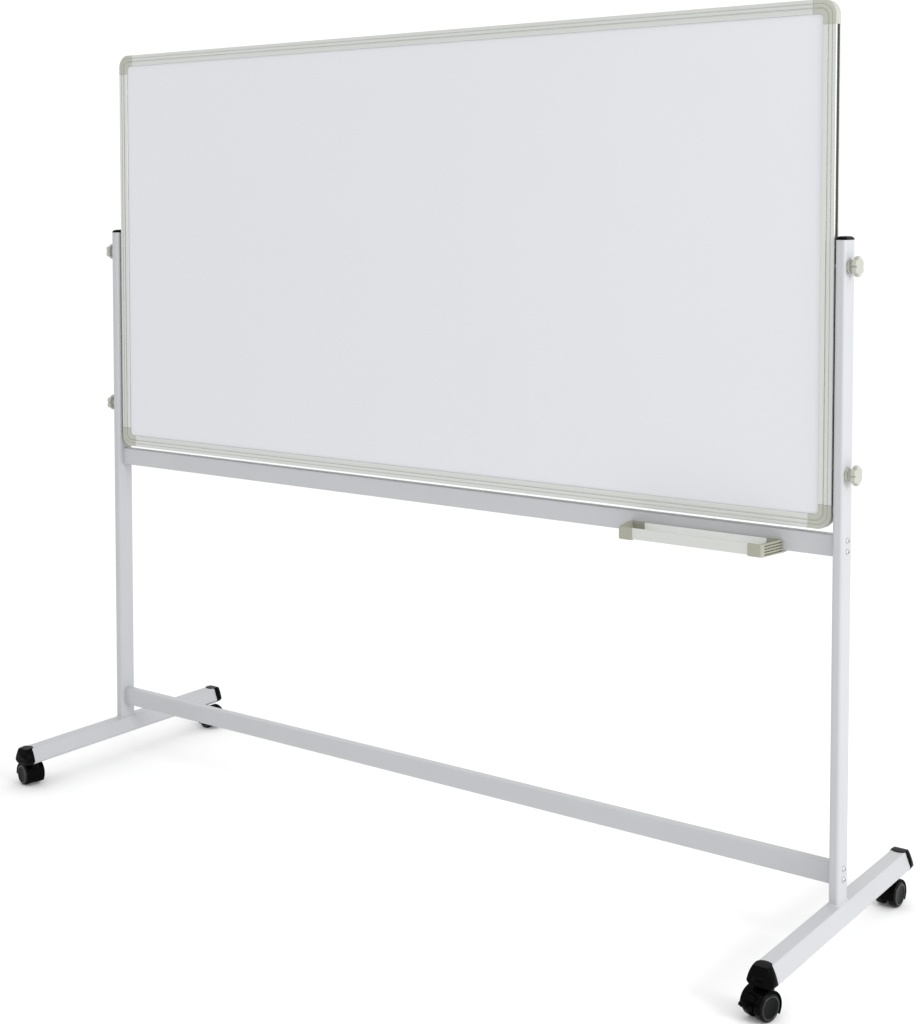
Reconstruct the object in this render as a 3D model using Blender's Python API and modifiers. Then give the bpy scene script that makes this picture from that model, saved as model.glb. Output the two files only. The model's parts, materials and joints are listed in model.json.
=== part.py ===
"""Rolling whiteboard: a double-sided board that flips between two welded legs on twin-wheel casters.

X runs along the board, Y from its front to its back and Z up. The origin lies on the floor,
under the middle of the board. All lengths are in metres.
"""

import math

import bmesh
import bpy
from mathutils import Matrix, Vector

# Board
BOARD_WIDTH = 1.850
BOARD_HEIGHT = 0.950
BOARD_THICKNESS = 0.020
PROFILE_FACE = 0.026
PANEL_EDGE_INSET = 0.014
PANEL_THICKNESS = 0.0134
SHEET_THICKNESS = 0.0003
CORNER_LEG = 0.045
CORNER_RADIUS = 0.028
SIDE_CHANNEL_WIDTH = 0.009
SIDE_CHANNEL_DEPTH = 0.004

# Stand
PIVOT_HEIGHT = 1.250
LOCK_HEIGHT = 0.877
BOARD_SIDE_GAP = 0.005
UPRIGHT_WIDTH = 0.020
UPRIGHT_DEPTH = 0.044
UPRIGHT_ROUNDING = 0.006
UPRIGHT_CENTRE_Y = 0.004
UPRIGHT_TOP = 1.297
TUBE_WALL = 0.0015
BAR_DEPTH = 0.020
BAR_HEIGHT = 0.040
BAR_CENTRE_Y = 0.005
UPPER_BAR_HEIGHT = 0.747
LOWER_BAR_HEIGHT = 0.147
END_PLATE = 0.004
BOLT_SPACING = 0.020
FOOT_HALF_LENGTH = 0.300
FOOT_TOP = 0.094
FOOT_WIDEST = 0.065
FOOT_BOTTOM = 0.058
FOOT_TOP_HALF = 0.014
FOOT_WIDEST_HALF = 0.025
FOOT_BOTTOM_HALF = 0.020
FOOT_CAP_LENGTH = 0.020
FOOT_CAP_PROUD = 0.0015
FOOT_CAP_BOW = 0.0014
FOOT_CAP_TONGUE = 0.010
PLUG_LENGTH = 0.012

# Casters
STEM_FROM_CENTRE = 0.281
WHEEL_RADIUS = 0.025
WHEEL_WIDTH = 0.016
WHEEL_INNER_FACE = 0.007
TRAIL = 0.020
FENDER_RADIUS = 0.0287
FENDER_THICKNESS = 0.0025
FENDER_HALF_WIDTH = 0.022
HUB_WEB = 0.012
STEM_RADIUS = 0.004
STEM_BOTTOM = 0.036
AXLE_RADIUS = 0.003
BRAKE_HALF_WIDTH = 0.0084
BRAKE_HINGE_RADIUS = 0.028
BRAKE_HINGE_ANGLE = 140.0
BRAKE_PIN_RADIUS = 0.0012
BRAKE_PIN_HALF_LENGTH = 0.0115
SWIVEL_ANGLES = {
    "front_left": -101.0,
    "front_right": -17.0,
    "rear_left": 90.0,
    "rear_right": -5.0,
}

# Knobs and bolts
SCREW_RADIUS = 0.004
BOLT_RADIUS = 0.003
BOLT_HEAD_RADIUS = 0.00525
BOLT_HEAD_HEIGHT = 0.003
KNOB_LOBES = 6
KNOB_RADIUS = 0.0170
KNOB_LOBE_HEIGHT = 0.0015
KNOB_COLLAR_RADIUS = 0.0125
KNOB_NECK_RADIUS = 0.009

# Pen tray, hung on the front of the upper crossbar
TRAY_LEFT = 0.509
TRAY_LENGTH = 0.322
TRAY_DEPTH = 0.067
TRAY_HEIGHT = 0.024
TRAY_BOTTOM = 0.723
TRAY_SLANT = 0.011
TRAY_CAP_LENGTH = 0.040
TRAY_CAP_OVERLAP = 0.007
TRAY_CAP_SKIN = 0.0015
TRAY_CAP_END = 0.0055
TRAY_LIP_DEPTH = 0.020
TRAY_LIP_HEIGHT = 0.003
TRAY_WALL = 0.002
TRAY_SLOTS = 4
TRAY_SLOT_PITCH = 0.0053
TRAY_SLOT_HEIGHT = 0.0024
TRAY_SLOT_DEPTH = 0.004

# Clearance between touching pieces, and around a pin that turns in its bore
GAP = 0.0003
RUNNING_GAP = 0.00012

HALF_BOARD = BOARD_WIDTH / 2
BOARD_BOTTOM = PIVOT_HEIGHT - BOARD_HEIGHT / 2
BOARD_TOP = PIVOT_HEIGHT + BOARD_HEIGHT / 2
UPRIGHT_INNER_X = HALF_BOARD + BOARD_SIDE_GAP
UPRIGHT_CENTRE_X = UPRIGHT_INNER_X + UPRIGHT_WIDTH / 2
UPRIGHT_OUTER_X = UPRIGHT_INNER_X + UPRIGHT_WIDTH
BAR_FRONT_Y = BAR_CENTRE_Y - BAR_DEPTH / 2
SIDES = {"left": -1, "right": 1}
ENDS = {"front": -1, "rear": 1}


def clear_scene():
    for old in list(bpy.data.objects):
        bpy.data.objects.remove(old, do_unlink=True)


def new_collection(name):
    collection = bpy.data.collections.new(name)
    bpy.context.scene.collection.children.link(collection)
    return collection


def plain_material(name, colour, roughness, metallic=0.0):
    material = bpy.data.materials.new(name)
    material.use_nodes = True
    shader = material.node_tree.nodes["Principled BSDF"]
    shader.inputs["Base Color"].default_value = (*colour, 1.0)
    shader.inputs["Roughness"].default_value = roughness
    shader.inputs["Metallic"].default_value = metallic
    return material


clear_scene()
PARTS = new_collection("rolling_whiteboard")

PAINT = plain_material("painted_steel", (0.68, 0.69, 0.74), 0.4)
ALUMINIUM = plain_material("anodised_aluminium", (0.66, 0.67, 0.63), 0.35, 0.9)
GREY_PLASTIC = plain_material("grey_plastic", (0.50, 0.50, 0.42), 0.5)
BLACK_PLASTIC = plain_material("black_plastic", (0.015, 0.015, 0.016), 0.4)
WHEEL_PLASTIC = plain_material("wheel_plastic", (0.03, 0.03, 0.033), 0.5)
ZINC_STEEL = plain_material("zinc_steel", (0.55, 0.56, 0.57), 0.35, 1.0)
BOARD_ENAMEL = plain_material("white_enamel", (0.76, 0.78, 0.81), 0.2)
FIBREBOARD = plain_material("fibreboard", (0.45, 0.33, 0.2), 0.8)


# ---------------------------------------------------------------- shape helpers


def round_corners(points, radius, steps=2):
    """The closed outline with each corner replaced by an arc of the given radius."""
    outline = []
    for i, corner in enumerate(points):
        here = Vector(corner)
        to_last = (Vector(points[i - 1]) - here).normalized()
        to_next = (Vector(points[(i + 1) % len(points)]) - here).normalized()
        half_angle = to_last.angle(to_next) / 2
        reach = radius / math.tan(half_angle)
        centre = here + (to_last + to_next).normalized() * radius / math.sin(half_angle)
        start = here + to_last * reach - centre
        turn = start.angle_signed(here + to_next * reach - centre)
        for step in range(steps + 1):
            spoke = start.copy()
            spoke.rotate(Matrix.Rotation(-turn * step / steps, 2))
            outline.append(tuple(centre + spoke))
    return outline


def rectangle(width, height, centre=(0.0, 0.0)):
    x, y = centre
    return [
        (x - width / 2, y - height / 2),
        (x + width / 2, y - height / 2),
        (x + width / 2, y + height / 2),
        (x - width / 2, y + height / 2),
    ]


def evaluated_mesh(obj):
    """The object's mesh with its modifiers applied; the object itself is removed."""
    graph = bpy.context.evaluated_depsgraph_get()
    mesh = bpy.data.meshes.new_from_object(obj.evaluated_get(graph), depsgraph=graph)
    matrix = obj.matrix_world.copy()
    bpy.data.objects.remove(obj, do_unlink=True)
    welded = bmesh.new()
    welded.from_mesh(mesh)
    bmesh.ops.remove_doubles(welded, verts=welded.verts, dist=0.00001)
    welded.to_mesh(mesh)
    welded.free()
    return mesh, matrix


def loose_object(mesh, matrix=None):
    """An object that other shapes are made from. It is linked so that its modifiers can be applied."""
    obj = bpy.data.objects.new("shape", mesh)
    bpy.context.scene.collection.objects.link(obj)
    if matrix is not None:
        obj.matrix_world = matrix
    bpy.context.view_layer.update()
    return obj


def placed(obj, matrix):
    """The shape with this transform worked into its mesh."""
    obj.data.transform(matrix)
    return obj


def prism(loops, length):
    """Flat outlines, the first one outside and any others holes, as a solid centred on z = 0."""
    curve = bpy.data.curves.new("outline", "CURVE")
    curve.dimensions = "2D"
    curve.fill_mode = "BOTH"
    curve.extrude = length / 2
    for loop in loops:
        spline = curve.splines.new("POLY")
        spline.points.add(len(loop) - 1)
        for point, (x, y) in zip(spline.points, loop):
            point.co = (x, y, 0.0, 1.0)
        spline.use_cyclic_u = True
    obj = loose_object(curve)
    mesh, matrix = evaluated_mesh(obj)
    return loose_object(mesh, matrix)


def box(size, centre):
    shape = bmesh.new()
    bmesh.ops.create_cube(shape, size=1.0)
    bmesh.ops.scale(shape, vec=size, verts=shape.verts)
    bmesh.ops.translate(shape, vec=centre, verts=shape.verts)
    mesh = bpy.data.meshes.new("box")
    shape.to_mesh(mesh)
    shape.free()
    return loose_object(mesh)


def cylinder(radius, length, segments=24):
    """A cylinder along Z, centred on z = 0."""
    shape = bmesh.new()
    bmesh.ops.create_cone(
        shape,
        cap_ends=True,
        segments=segments,
        radius1=radius,
        radius2=radius,
        depth=length,
    )
    mesh = bpy.data.meshes.new("cylinder")
    shape.to_mesh(mesh)
    shape.free()
    return loose_object(mesh)


def turned(profile, steps=24, closed=False):
    """A profile of (radius, z) points, listed from top to bottom, turned about Z."""
    shape = bmesh.new()
    verts = [shape.verts.new((radius, 0.0, z)) for radius, z in profile]
    pairs = list(zip(verts, verts[1:]))
    if closed:
        pairs.append((verts[-1], verts[0]))
    for pair in pairs:
        shape.edges.new(pair)
    mesh = bpy.data.meshes.new("turned")
    shape.to_mesh(mesh)
    shape.free()
    obj = loose_object(mesh)
    screw = obj.modifiers.new("Turn", "SCREW")
    screw.steps = steps
    screw.render_steps = steps
    screw.use_merge_vertices = True
    screw.merge_threshold = 0.00001
    mesh, matrix = evaluated_mesh(obj)
    return loose_object(mesh, matrix)


def loft(rings):
    """A solid through rings of equally many points, closed by a face at each end."""
    shape = bmesh.new()
    rows = [[shape.verts.new(point) for point in ring] for ring in rings]
    for low, high in zip(rows, rows[1:]):
        for i in range(len(low)):
            j = (i + 1) % len(low)
            shape.faces.new((low[i], low[j], high[j], high[i]))
    shape.faces.new(reversed(rows[0]))
    shape.faces.new(rows[-1])
    bmesh.ops.recalc_face_normals(shape, faces=shape.faces)
    mesh = bpy.data.meshes.new("loft")
    shape.to_mesh(mesh)
    shape.free()
    return loose_object(mesh)


def combine(obj, others, operation):
    for other in others:
        boolean = obj.modifiers.new("Combine", "BOOLEAN")
        boolean.operation = operation
        boolean.solver = "EXACT"
        boolean.object = other
    bpy.context.view_layer.update()
    mesh, matrix = evaluated_mesh(obj)
    for other in others:
        bpy.data.objects.remove(other, do_unlink=True)
    return loose_object(mesh, matrix)


def cut(obj, *cutters):
    return combine(obj, cutters, "DIFFERENCE")


def unite(obj, *others):
    return combine(obj, others, "UNION")


def part(name, shape, material, parent=None, origin=(0.0, 0.0, 0.0)):
    """A named piece whose mesh is the shape's. The origin is the piece's own, in its parent's space."""
    mesh = shape.data
    mesh.name = name
    obj = bpy.data.objects.new(name, mesh)
    PARTS.objects.link(obj)
    mesh.transform(Matrix.Translation(-Vector(origin)))
    mesh.shade_smooth()
    mesh.set_sharp_from_angle(angle=math.radians(35))
    mesh.materials.clear()
    mesh.materials.append(material)
    obj.location = origin
    obj.parent = parent
    bpy.data.objects.remove(shape, do_unlink=True)
    return obj


def anchor(name, location, angle_z=0.0):
    """An empty on a joint's axis."""
    empty = bpy.data.objects.new(name, None)
    PARTS.objects.link(empty)
    empty.location = location
    empty.rotation_euler = (0.0, 0.0, angle_z)
    empty.empty_display_size = 0.02
    return empty


ALONG_X = Matrix.Rotation(math.pi / 2, 4, "Y")
# Turns an outline drawn in XY so that its x stays X, its y becomes Z and it is extruded along Y.
UPRIGHT_IN_XZ = Matrix.Rotation(math.pi / 2, 4, "X")
# Turns an outline drawn in XY so that its x becomes Y, its y becomes Z and it is extruded along X.
UPRIGHT_IN_YZ = Matrix(((0, 0, 1, 0), (1, 0, 0, 0), (0, 1, 0, 0), (0, 0, 0, 1)))


def hole_along_x(radius, y, z, x, length, segments=16):
    return placed(
        cylinder(radius, length, segments), Matrix.Translation((x, y, z)) @ ALONG_X
    )


# ---------------------------------------------------------------- welded legs


def foot_outline(inset=0.0):
    """The foot's section in XZ about its own middle: a narrow flat top, sloping sides, a chamfered base."""
    slope = Vector(
        (FOOT_WIDEST_HALF - FOOT_TOP_HALF, FOOT_TOP - FOOT_WIDEST)
    ).normalized()
    top_half = FOOT_TOP_HALF + inset * (slope.x - 1) / slope.y
    widest = FOOT_WIDEST_HALF - inset / slope.y
    bottom_half = FOOT_BOTTOM_HALF - inset * 0.5
    right = [
        (bottom_half, FOOT_BOTTOM + inset),
        (widest, FOOT_WIDEST),
        (top_half, FOOT_TOP - inset),
    ]
    left = [(-x, z) for x, z in reversed(right)]
    return round_corners(right + left, 0.0028 - inset * 0.8)


def upright_outline(inset=0.0):
    width = UPRIGHT_WIDTH - 2 * inset
    depth = UPRIGHT_DEPTH - 2 * inset
    return round_corners(rectangle(width, depth), UPRIGHT_ROUNDING - inset, 3)


def bar_outline(inset=0.0):
    width = BAR_DEPTH - 2 * inset
    height = BAR_HEIGHT - 2 * inset
    return round_corners(rectangle(width, height), 0.0028 - inset)


def leg(name, side):
    x = side * UPRIGHT_CENTRE_X
    foot = prism([foot_outline(), foot_outline(TUBE_WALL)], 2 * FOOT_HALF_LENGTH)
    placed(foot, Matrix.Translation((x, 0.0, 0.0)) @ UPRIGHT_IN_XZ)
    weld_depth = TUBE_WALL / 2
    bottom = FOOT_TOP - weld_depth
    upright = prism([upright_outline(), upright_outline(TUBE_WALL)], UPRIGHT_TOP - bottom)
    middle = (UPRIGHT_TOP + bottom) / 2
    placed(upright, Matrix.Translation((x, UPRIGHT_CENTRE_Y, middle)))
    welded = unite(foot, upright)
    through = UPRIGHT_WIDTH * 2
    holes = [
        hole_along_x(SCREW_RADIUS + GAP, 0.0, PIVOT_HEIGHT, x, through),
        hole_along_x(SCREW_RADIUS + GAP, 0.0, LOCK_HEIGHT, x, through),
    ]
    for bar_height in (UPPER_BAR_HEIGHT, LOWER_BAR_HEIGHT):
        for z in bolt_heights(bar_height):
            holes.append(hole_along_x(BOLT_RADIUS + GAP, BAR_CENTRE_Y, z, x, through))
    for end in ENDS.values():
        stem_hole = cylinder(STEM_RADIUS + GAP, 0.01, 16)
        place = (x, end * STEM_FROM_CENTRE, FOOT_BOTTOM)
        holes.append(placed(stem_hole, Matrix.Translation(place)))
    return part(name, cut(welded, *holes), PAINT)


def upright_cap(name, side):
    """A black plug with a low domed head that closes the upright's open top."""
    overhang = 0.0008
    lip = 0.0015
    dome = 0.0055
    plug = prism([upright_outline(TUBE_WALL + GAP)], PLUG_LENGTH)
    placed(plug, Matrix.Translation((0.0, 0.0, 0.001 - PLUG_LENGTH / 2)))
    half_width = UPRIGHT_WIDTH / 2 + overhang
    half_depth = UPRIGHT_DEPTH / 2 + overhang
    outline = upright_outline(-overhang)
    rings = [[(x, y, GAP) for x, y in outline]]
    for step in range(4):
        angle = math.pi / 2 * step / 3
        inset = 0.006 * (1 - math.cos(angle))
        shrink_x = 1 - inset / half_width
        shrink_y = 1 - 2 * inset / half_depth
        z = lip + dome * math.sin(angle)
        rings.append([(x * shrink_x, y * shrink_y, z) for x, y in outline])
    cap = unite(loft(rings), plug)
    place = (side * UPRIGHT_CENTRE_X, UPRIGHT_CENTRE_Y, UPRIGHT_TOP)
    placed(cap, Matrix.Translation(place))
    return part(name, cap, BLACK_PLASTIC)


def foot_cap_outline():
    """The cap's section: proud of the foot's, flush with its base, and with its slopes bowed outwards."""
    base = (FOOT_BOTTOM_HALF, FOOT_BOTTOM)
    widest = Vector((FOOT_WIDEST_HALF + FOOT_CAP_PROUD, FOOT_WIDEST))
    top = Vector((FOOT_TOP_HALF + FOOT_CAP_PROUD / 2, FOOT_TOP + FOOT_CAP_PROUD))
    outwards = Vector((top.y - widest.y, widest.x - top.x)).normalized()
    right = [base, tuple(widest)]
    for share in (0.3, 0.6):
        bow = 4 * FOOT_CAP_BOW * share * (1 - share)
        right.append(tuple(widest.lerp(top, share) + outwards * bow))
    right.append(tuple(top))
    left = [(-x, z) for x, z in reversed(right)]
    return round_corners(right + left, 0.0032)


def foot_cap(name, side, end):
    """A black cap that rounds off the foot's end, with a tongue that lies on the tube's flat top."""
    outline = foot_cap_outline()
    middle_z = (FOOT_TOP + FOOT_BOTTOM) / 2
    rounding = 0.007
    straight = FOOT_CAP_LENGTH - rounding
    rings = [[(x, -GAP, z) for x, z in outline]]
    for step in range(4):
        angle = math.pi / 2 * step / 3
        inset = rounding * (1 - math.cos(angle)) * 0.55
        shrink_x = 1 - inset / FOOT_WIDEST_HALF
        shrink_z = 1 - inset / (middle_z - FOOT_BOTTOM)
        y = -(straight + rounding * math.sin(angle))
        ring = [(x * shrink_x, y, middle_z + (z - middle_z) * shrink_z) for x, z in outline]
        rings.append(ring)
    head = loft(rings)
    plug = prism([foot_outline(TUBE_WALL + GAP)], PLUG_LENGTH + 0.002)
    placed(plug, Matrix.Translation((0.0, PLUG_LENGTH / 2 - 0.001, 0.0)) @ UPRIGHT_IN_XZ)
    tongue_outline = [(FOOT_TOP_HALF, -0.002)]
    for step in range(9):
        angle = math.pi * step / 8
        tongue_outline.append((FOOT_TOP_HALF * math.cos(angle), FOOT_CAP_TONGUE * math.sin(angle)))
    tongue_outline.append((-FOOT_TOP_HALF, -0.002))
    tongue = prism([tongue_outline], FOOT_CAP_PROUD - GAP)
    placed(tongue, Matrix.Translation((0.0, 0.0, FOOT_TOP + (FOOT_CAP_PROUD + GAP) / 2)))
    cap = unite(head, plug, tongue)
    turn = Matrix.Rotation(math.pi if end > 0 else 0.0, 4, "Z")
    place = (side * UPRIGHT_CENTRE_X, end * FOOT_HALF_LENGTH, 0.0)
    placed(cap, Matrix.Translation(place) @ turn)
    return part(name, cap, BLACK_PLASTIC)


# ---------------------------------------------------------------- crossbars


def bolt_heights(bar_height):
    return (bar_height - BOLT_SPACING / 2, bar_height + BOLT_SPACING / 2)


def crossbar(name, height):
    """A rectangular tube with a tapped plate welded inside each end."""
    half_length = UPRIGHT_INNER_X - GAP
    tube = prism([bar_outline(), bar_outline(TUBE_WALL)], 2 * half_length)
    placed(tube, Matrix.Translation((0.0, BAR_CENTRE_Y, height)) @ UPRIGHT_IN_YZ)
    plates = []
    holes = []
    for side in SIDES.values():
        x = side * (half_length - END_PLATE / 2 - 0.001)
        size = (END_PLATE, BAR_DEPTH - TUBE_WALL, BAR_HEIGHT - TUBE_WALL)
        plates.append(box(size, (x, BAR_CENTRE_Y, height)))
        for z in bolt_heights(height):
            holes.append(hole_along_x(BOLT_RADIUS + GAP, BAR_CENTRE_Y, z, x, 2 * END_PLATE))
    return part(name, cut(unite(tube, *plates), *holes), PAINT)


def button_bolt():
    """A button-head socket bolt, its head's underside on z = 0 and its shank running down."""
    shank = UPRIGHT_WIDTH + 2 * END_PLATE
    head = [(0.0, BOLT_HEAD_HEIGHT)]
    for step in range(1, 4):
        angle = math.pi / 2 * step / 3
        head.append((BOLT_HEAD_RADIUS * math.sin(angle), BOLT_HEAD_HEIGHT * math.cos(angle)))
    body = [(BOLT_RADIUS, 0.0), (BOLT_RADIUS, -shank), (0.0, -shank)]
    bolt = turned(head + body, 16)
    socket = placed(cylinder(0.0023, 0.004, 6), Matrix.Translation((0.0, 0.0, 0.0032)))
    return cut(bolt, socket)


def crossbar_bolts():
    for bar, bar_height in (("upper", UPPER_BAR_HEIGHT), ("lower", LOWER_BAR_HEIGHT)):
        for side_name, side in SIDES.items():
            outward = Matrix.Rotation(side * math.pi / 2, 4, "Y")
            for number, z in enumerate(bolt_heights(bar_height), start=1):
                place = (side * (UPRIGHT_OUTER_X + GAP), BAR_CENTRE_Y, z)
                bolt = placed(button_bolt(), Matrix.Translation(place) @ outward)
                part(f"crossbar_bolt_{bar}_{side_name}_{number}", bolt, ZINC_STEEL)


# ---------------------------------------------------------------- casters


def caster_stem(name, pivot):
    """The steel pin that the caster swivels on: threaded into the foot above, a collar, a journal below."""
    collar_top = FOOT_BOTTOM - GAP
    collar_bottom = collar_top - 0.0028
    profile = [
        (0.0, FOOT_BOTTOM + 0.018),
        (STEM_RADIUS - 0.001, FOOT_BOTTOM + 0.018),
        (STEM_RADIUS, FOOT_BOTTOM + 0.017),
        (STEM_RADIUS, collar_top),
        (0.0075, collar_top),
        (0.0075, collar_bottom),
        (STEM_RADIUS, collar_bottom),
        (STEM_RADIUS, STEM_BOTTOM),
        (0.0, STEM_BOTTOM),
    ]
    return part(name, turned(profile, 16), ZINC_STEEL, pivot)


def caster_housing(name, pivot, braked):
    """A plastic fender over both treads, with the web between the wheels and the boss for the stem."""
    lowest_front = -37.0
    lowest_rear = 190.0
    steps = 20
    outline = []
    for step in range(steps + 1):
        degrees = lowest_front + (lowest_rear - lowest_front) * step / steps
        outline.append(on_wheel_arc(FENDER_RADIUS, degrees))
    fender = placed(prism([outline], 2 * FENDER_HALF_WIDTH), UPRIGHT_IN_YZ)
    boss_top = FOOT_BOTTOM - GAP - 0.0028 - GAP
    boss_height = boss_top - 0.040
    boss = placed(
        cylinder(0.0085, boss_height), Matrix.Translation((0.0, 0.0, boss_top - boss_height / 2))
    )
    cutters = []
    cavity_width = FENDER_HALF_WIDTH + 0.005 - HUB_WEB / 2
    radius = FENDER_RADIUS - FENDER_THICKNESS
    for side in SIDES.values():
        x = side * (HUB_WEB + cavity_width) / 2
        cutters.append(hole_along_x(radius, -TRAIL, WHEEL_RADIUS, x, cavity_width, 32))
    bore = cylinder(STEM_RADIUS + RUNNING_GAP, 0.03, 16)
    cutters.append(placed(bore, Matrix.Translation((0.0, 0.0, STEM_BOTTOM - GAP + 0.015))))
    cutters.append(
        hole_along_x(AXLE_RADIUS + RUNNING_GAP, -TRAIL, WHEEL_RADIUS, 0.0, 2 * HUB_WEB)
    )
    shapes = [boss]
    if braked:
        hinge_y, hinge_z = on_wheel_arc(BRAKE_HINGE_RADIUS, BRAKE_HINGE_ANGLE)
        at_hinge = Matrix.Translation((0.0, hinge_y, hinge_z)) @ ALONG_X
        shapes.append(placed(cylinder(0.0024, 2 * BRAKE_PIN_HALF_LENGTH + 0.001, 16), at_hinge))
        cutters.append(brake_notch())
        pin_bore = 2 * (BRAKE_PIN_HALF_LENGTH + GAP)
        cutters.append(
            hole_along_x(BRAKE_PIN_RADIUS + RUNNING_GAP, hinge_y, hinge_z, 0.0, pin_bore)
        )
    return part(name, cut(unite(fender, *shapes), *cutters), BLACK_PLASTIC, pivot)


def on_wheel_arc(radius, degrees):
    """The point in YZ at this angle about the axle: 0 towards the stem, 90 up, 180 to the trailing side."""
    angle = math.radians(degrees)
    return (-TRAIL + radius * math.cos(angle), WHEEL_RADIUS + radius * math.sin(angle))


def arc_band(first, last, inner_radii, outer_radii, steps=6):
    """A band about the axle whose two radii change evenly from its first angle to its last."""
    inside = []
    outside = []
    for step in range(steps + 1):
        share = step / steps
        degrees = first + (last - first) * share
        inner = inner_radii[0] + (inner_radii[1] - inner_radii[0]) * share
        outer = outer_radii[0] + (outer_radii[1] - outer_radii[0]) * share
        inside.append(on_wheel_arc(inner, degrees))
        outside.append(on_wheel_arc(outer, degrees))
    return inside + outside[::-1]


def brake_notch():
    """The opening in the fender's trailing side that the brake lever moves in."""
    outline = arc_band(132.0, 200.0, (0.0245, 0.0245), (0.040, 0.040))
    return placed(prism([outline], 2 * BRAKE_HALF_WIDTH + 0.0012), UPRIGHT_IN_YZ)


def caster_axle(name, pivot):
    half_length = WHEEL_INNER_FACE + WHEEL_WIDTH - 0.004
    axle = placed(
        cylinder(AXLE_RADIUS, 2 * half_length, 16),
        Matrix.Translation((0.0, -TRAIL, WHEEL_RADIUS)) @ ALONG_X,
    )
    return part(name, axle, ZINC_STEEL, pivot, (0.0, -TRAIL, WHEEL_RADIUS))


def caster_wheel(name, pivot, side):
    """A solid plastic wheel, bored from its inner face, with a raised ring on its outer face."""
    edge = 0.0025
    blind_end = WHEEL_WIDTH - 0.004 + GAP
    profile = [
        (0.0, WHEEL_WIDTH - 0.0007),
        (0.0190, WHEEL_WIDTH - 0.0007),
        (0.0197, WHEEL_WIDTH),
        (0.0213, WHEEL_WIDTH),
        (0.0220, WHEEL_WIDTH - 0.0007),
        (WHEEL_RADIUS, WHEEL_WIDTH - edge),
        (WHEEL_RADIUS, edge),
        (WHEEL_RADIUS - edge, 0.0),
        (AXLE_RADIUS + RUNNING_GAP, 0.0),
        (AXLE_RADIUS + RUNNING_GAP, blind_end),
        (0.0, blind_end),
    ]
    wheel = turned(profile, 30)
    outward = Matrix.Rotation(side * math.pi / 2, 4, "Y")
    axle_centre = (0.0, -TRAIL, WHEEL_RADIUS)
    inner_face = (side * WHEEL_INNER_FACE, -TRAIL, WHEEL_RADIUS)
    placed(wheel, Matrix.Translation(inner_face) @ outward)
    return part(name, wheel, WHEEL_PLASTIC, pivot, axle_centre)


def brake_lever(name, pivot):
    """A pedal behind the fender: a shoe that presses on both treads, a hinge pin and a tab for the toe."""
    hinge_y, hinge_z = on_wheel_arc(BRAKE_HINGE_RADIUS, BRAKE_HINGE_ANGLE)
    shoe_outline = arc_band(BRAKE_HINGE_ANGLE, 186.0, (0.0268, 0.0282), (0.0292, 0.0310))
    shoe = placed(prism([shoe_outline], 2 * BRAKE_HALF_WIDTH), UPRIGHT_IN_YZ)
    tab_outline = [(-0.048, 0.0305), (-0.048, 0.0355), (-0.066, 0.0395), (-0.070, 0.0350)]
    tab = placed(prism([round_corners(tab_outline, 0.0012)], 0.012), UPRIGHT_IN_YZ)
    at_hinge = Matrix.Translation((0.0, hinge_y, hinge_z)) @ ALONG_X
    knuckle = placed(cylinder(0.0019, 2 * BRAKE_HALF_WIDTH, 12), at_hinge)
    pin = placed(cylinder(BRAKE_PIN_RADIUS, 2 * BRAKE_PIN_HALF_LENGTH, 16), at_hinge)
    lever = unite(shoe, tab, knuckle, pin)
    return part(name, lever, BLACK_PLASTIC, pivot, (0.0, hinge_y, hinge_z))


def caster(end_name, side_name, end, side):
    corner = f"{end_name}_{side_name}"
    place = (side * UPRIGHT_CENTRE_X, end * STEM_FROM_CENTRE, 0.0)
    pivot = anchor(f"swivel_{corner}", place, math.radians(SWIVEL_ANGLES[corner]))
    braked = end_name == "front"
    caster_stem(f"caster_stem_{corner}", pivot)
    caster_housing(f"caster_housing_{corner}", pivot, braked)
    caster_axle(f"caster_axle_{corner}", pivot)
    caster_wheel(f"caster_wheel_{corner}_a", pivot, 1)
    caster_wheel(f"caster_wheel_{corner}_b", pivot, -1)
    if braked:
        brake_lever(f"brake_lever_{corner}", pivot)


# ---------------------------------------------------------------- board


def board_panel():
    """A fibreboard core between two enamelled steel sheets, which sit in the frame's slot."""
    width = BOARD_WIDTH - 2 * PANEL_EDGE_INSET
    height = BOARD_HEIGHT - 2 * PANEL_EDGE_INSET
    core_thickness = PANEL_THICKNESS - 2 * (SHEET_THICKNESS + GAP)
    middle = (0.0, 0.0, PIVOT_HEIGHT)
    part("board_core", box((width, core_thickness, height), middle), FIBREBOARD)
    for name, direction in (("writing_sheet_front", -1), ("writing_sheet_back", 1)):
        y = direction * (PANEL_THICKNESS - SHEET_THICKNESS) / 2
        sheet = box((width, SHEET_THICKNESS, height), (0.0, y, PIVOT_HEIGHT))
        part(name, sheet, BOARD_ENAMEL)


def profile_outline():
    """The frame rail's section: x is the way in from the board's edge, y the way through the board."""
    half = BOARD_THICKNESS / 2
    slot = PANEL_THICKNESS / 2 + GAP
    slot_start = PANEL_EDGE_INSET - GAP
    channel = SIDE_CHANNEL_WIDTH / 2
    upper = [
        (SIDE_CHANNEL_DEPTH, channel),
        (0.0, channel),
        (0.0, half - 0.0022),
        (0.0007, half - 0.0007),
        (0.0022, half),
        (PROFILE_FACE - 0.002, half),
        (PROFILE_FACE - 0.0006, half - 0.0006),
        (PROFILE_FACE, half - 0.002),
        (PROFILE_FACE, slot),
        (slot_start, slot),
    ]
    return upper + [(x, -y) for x, y in reversed(upper)]


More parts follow.
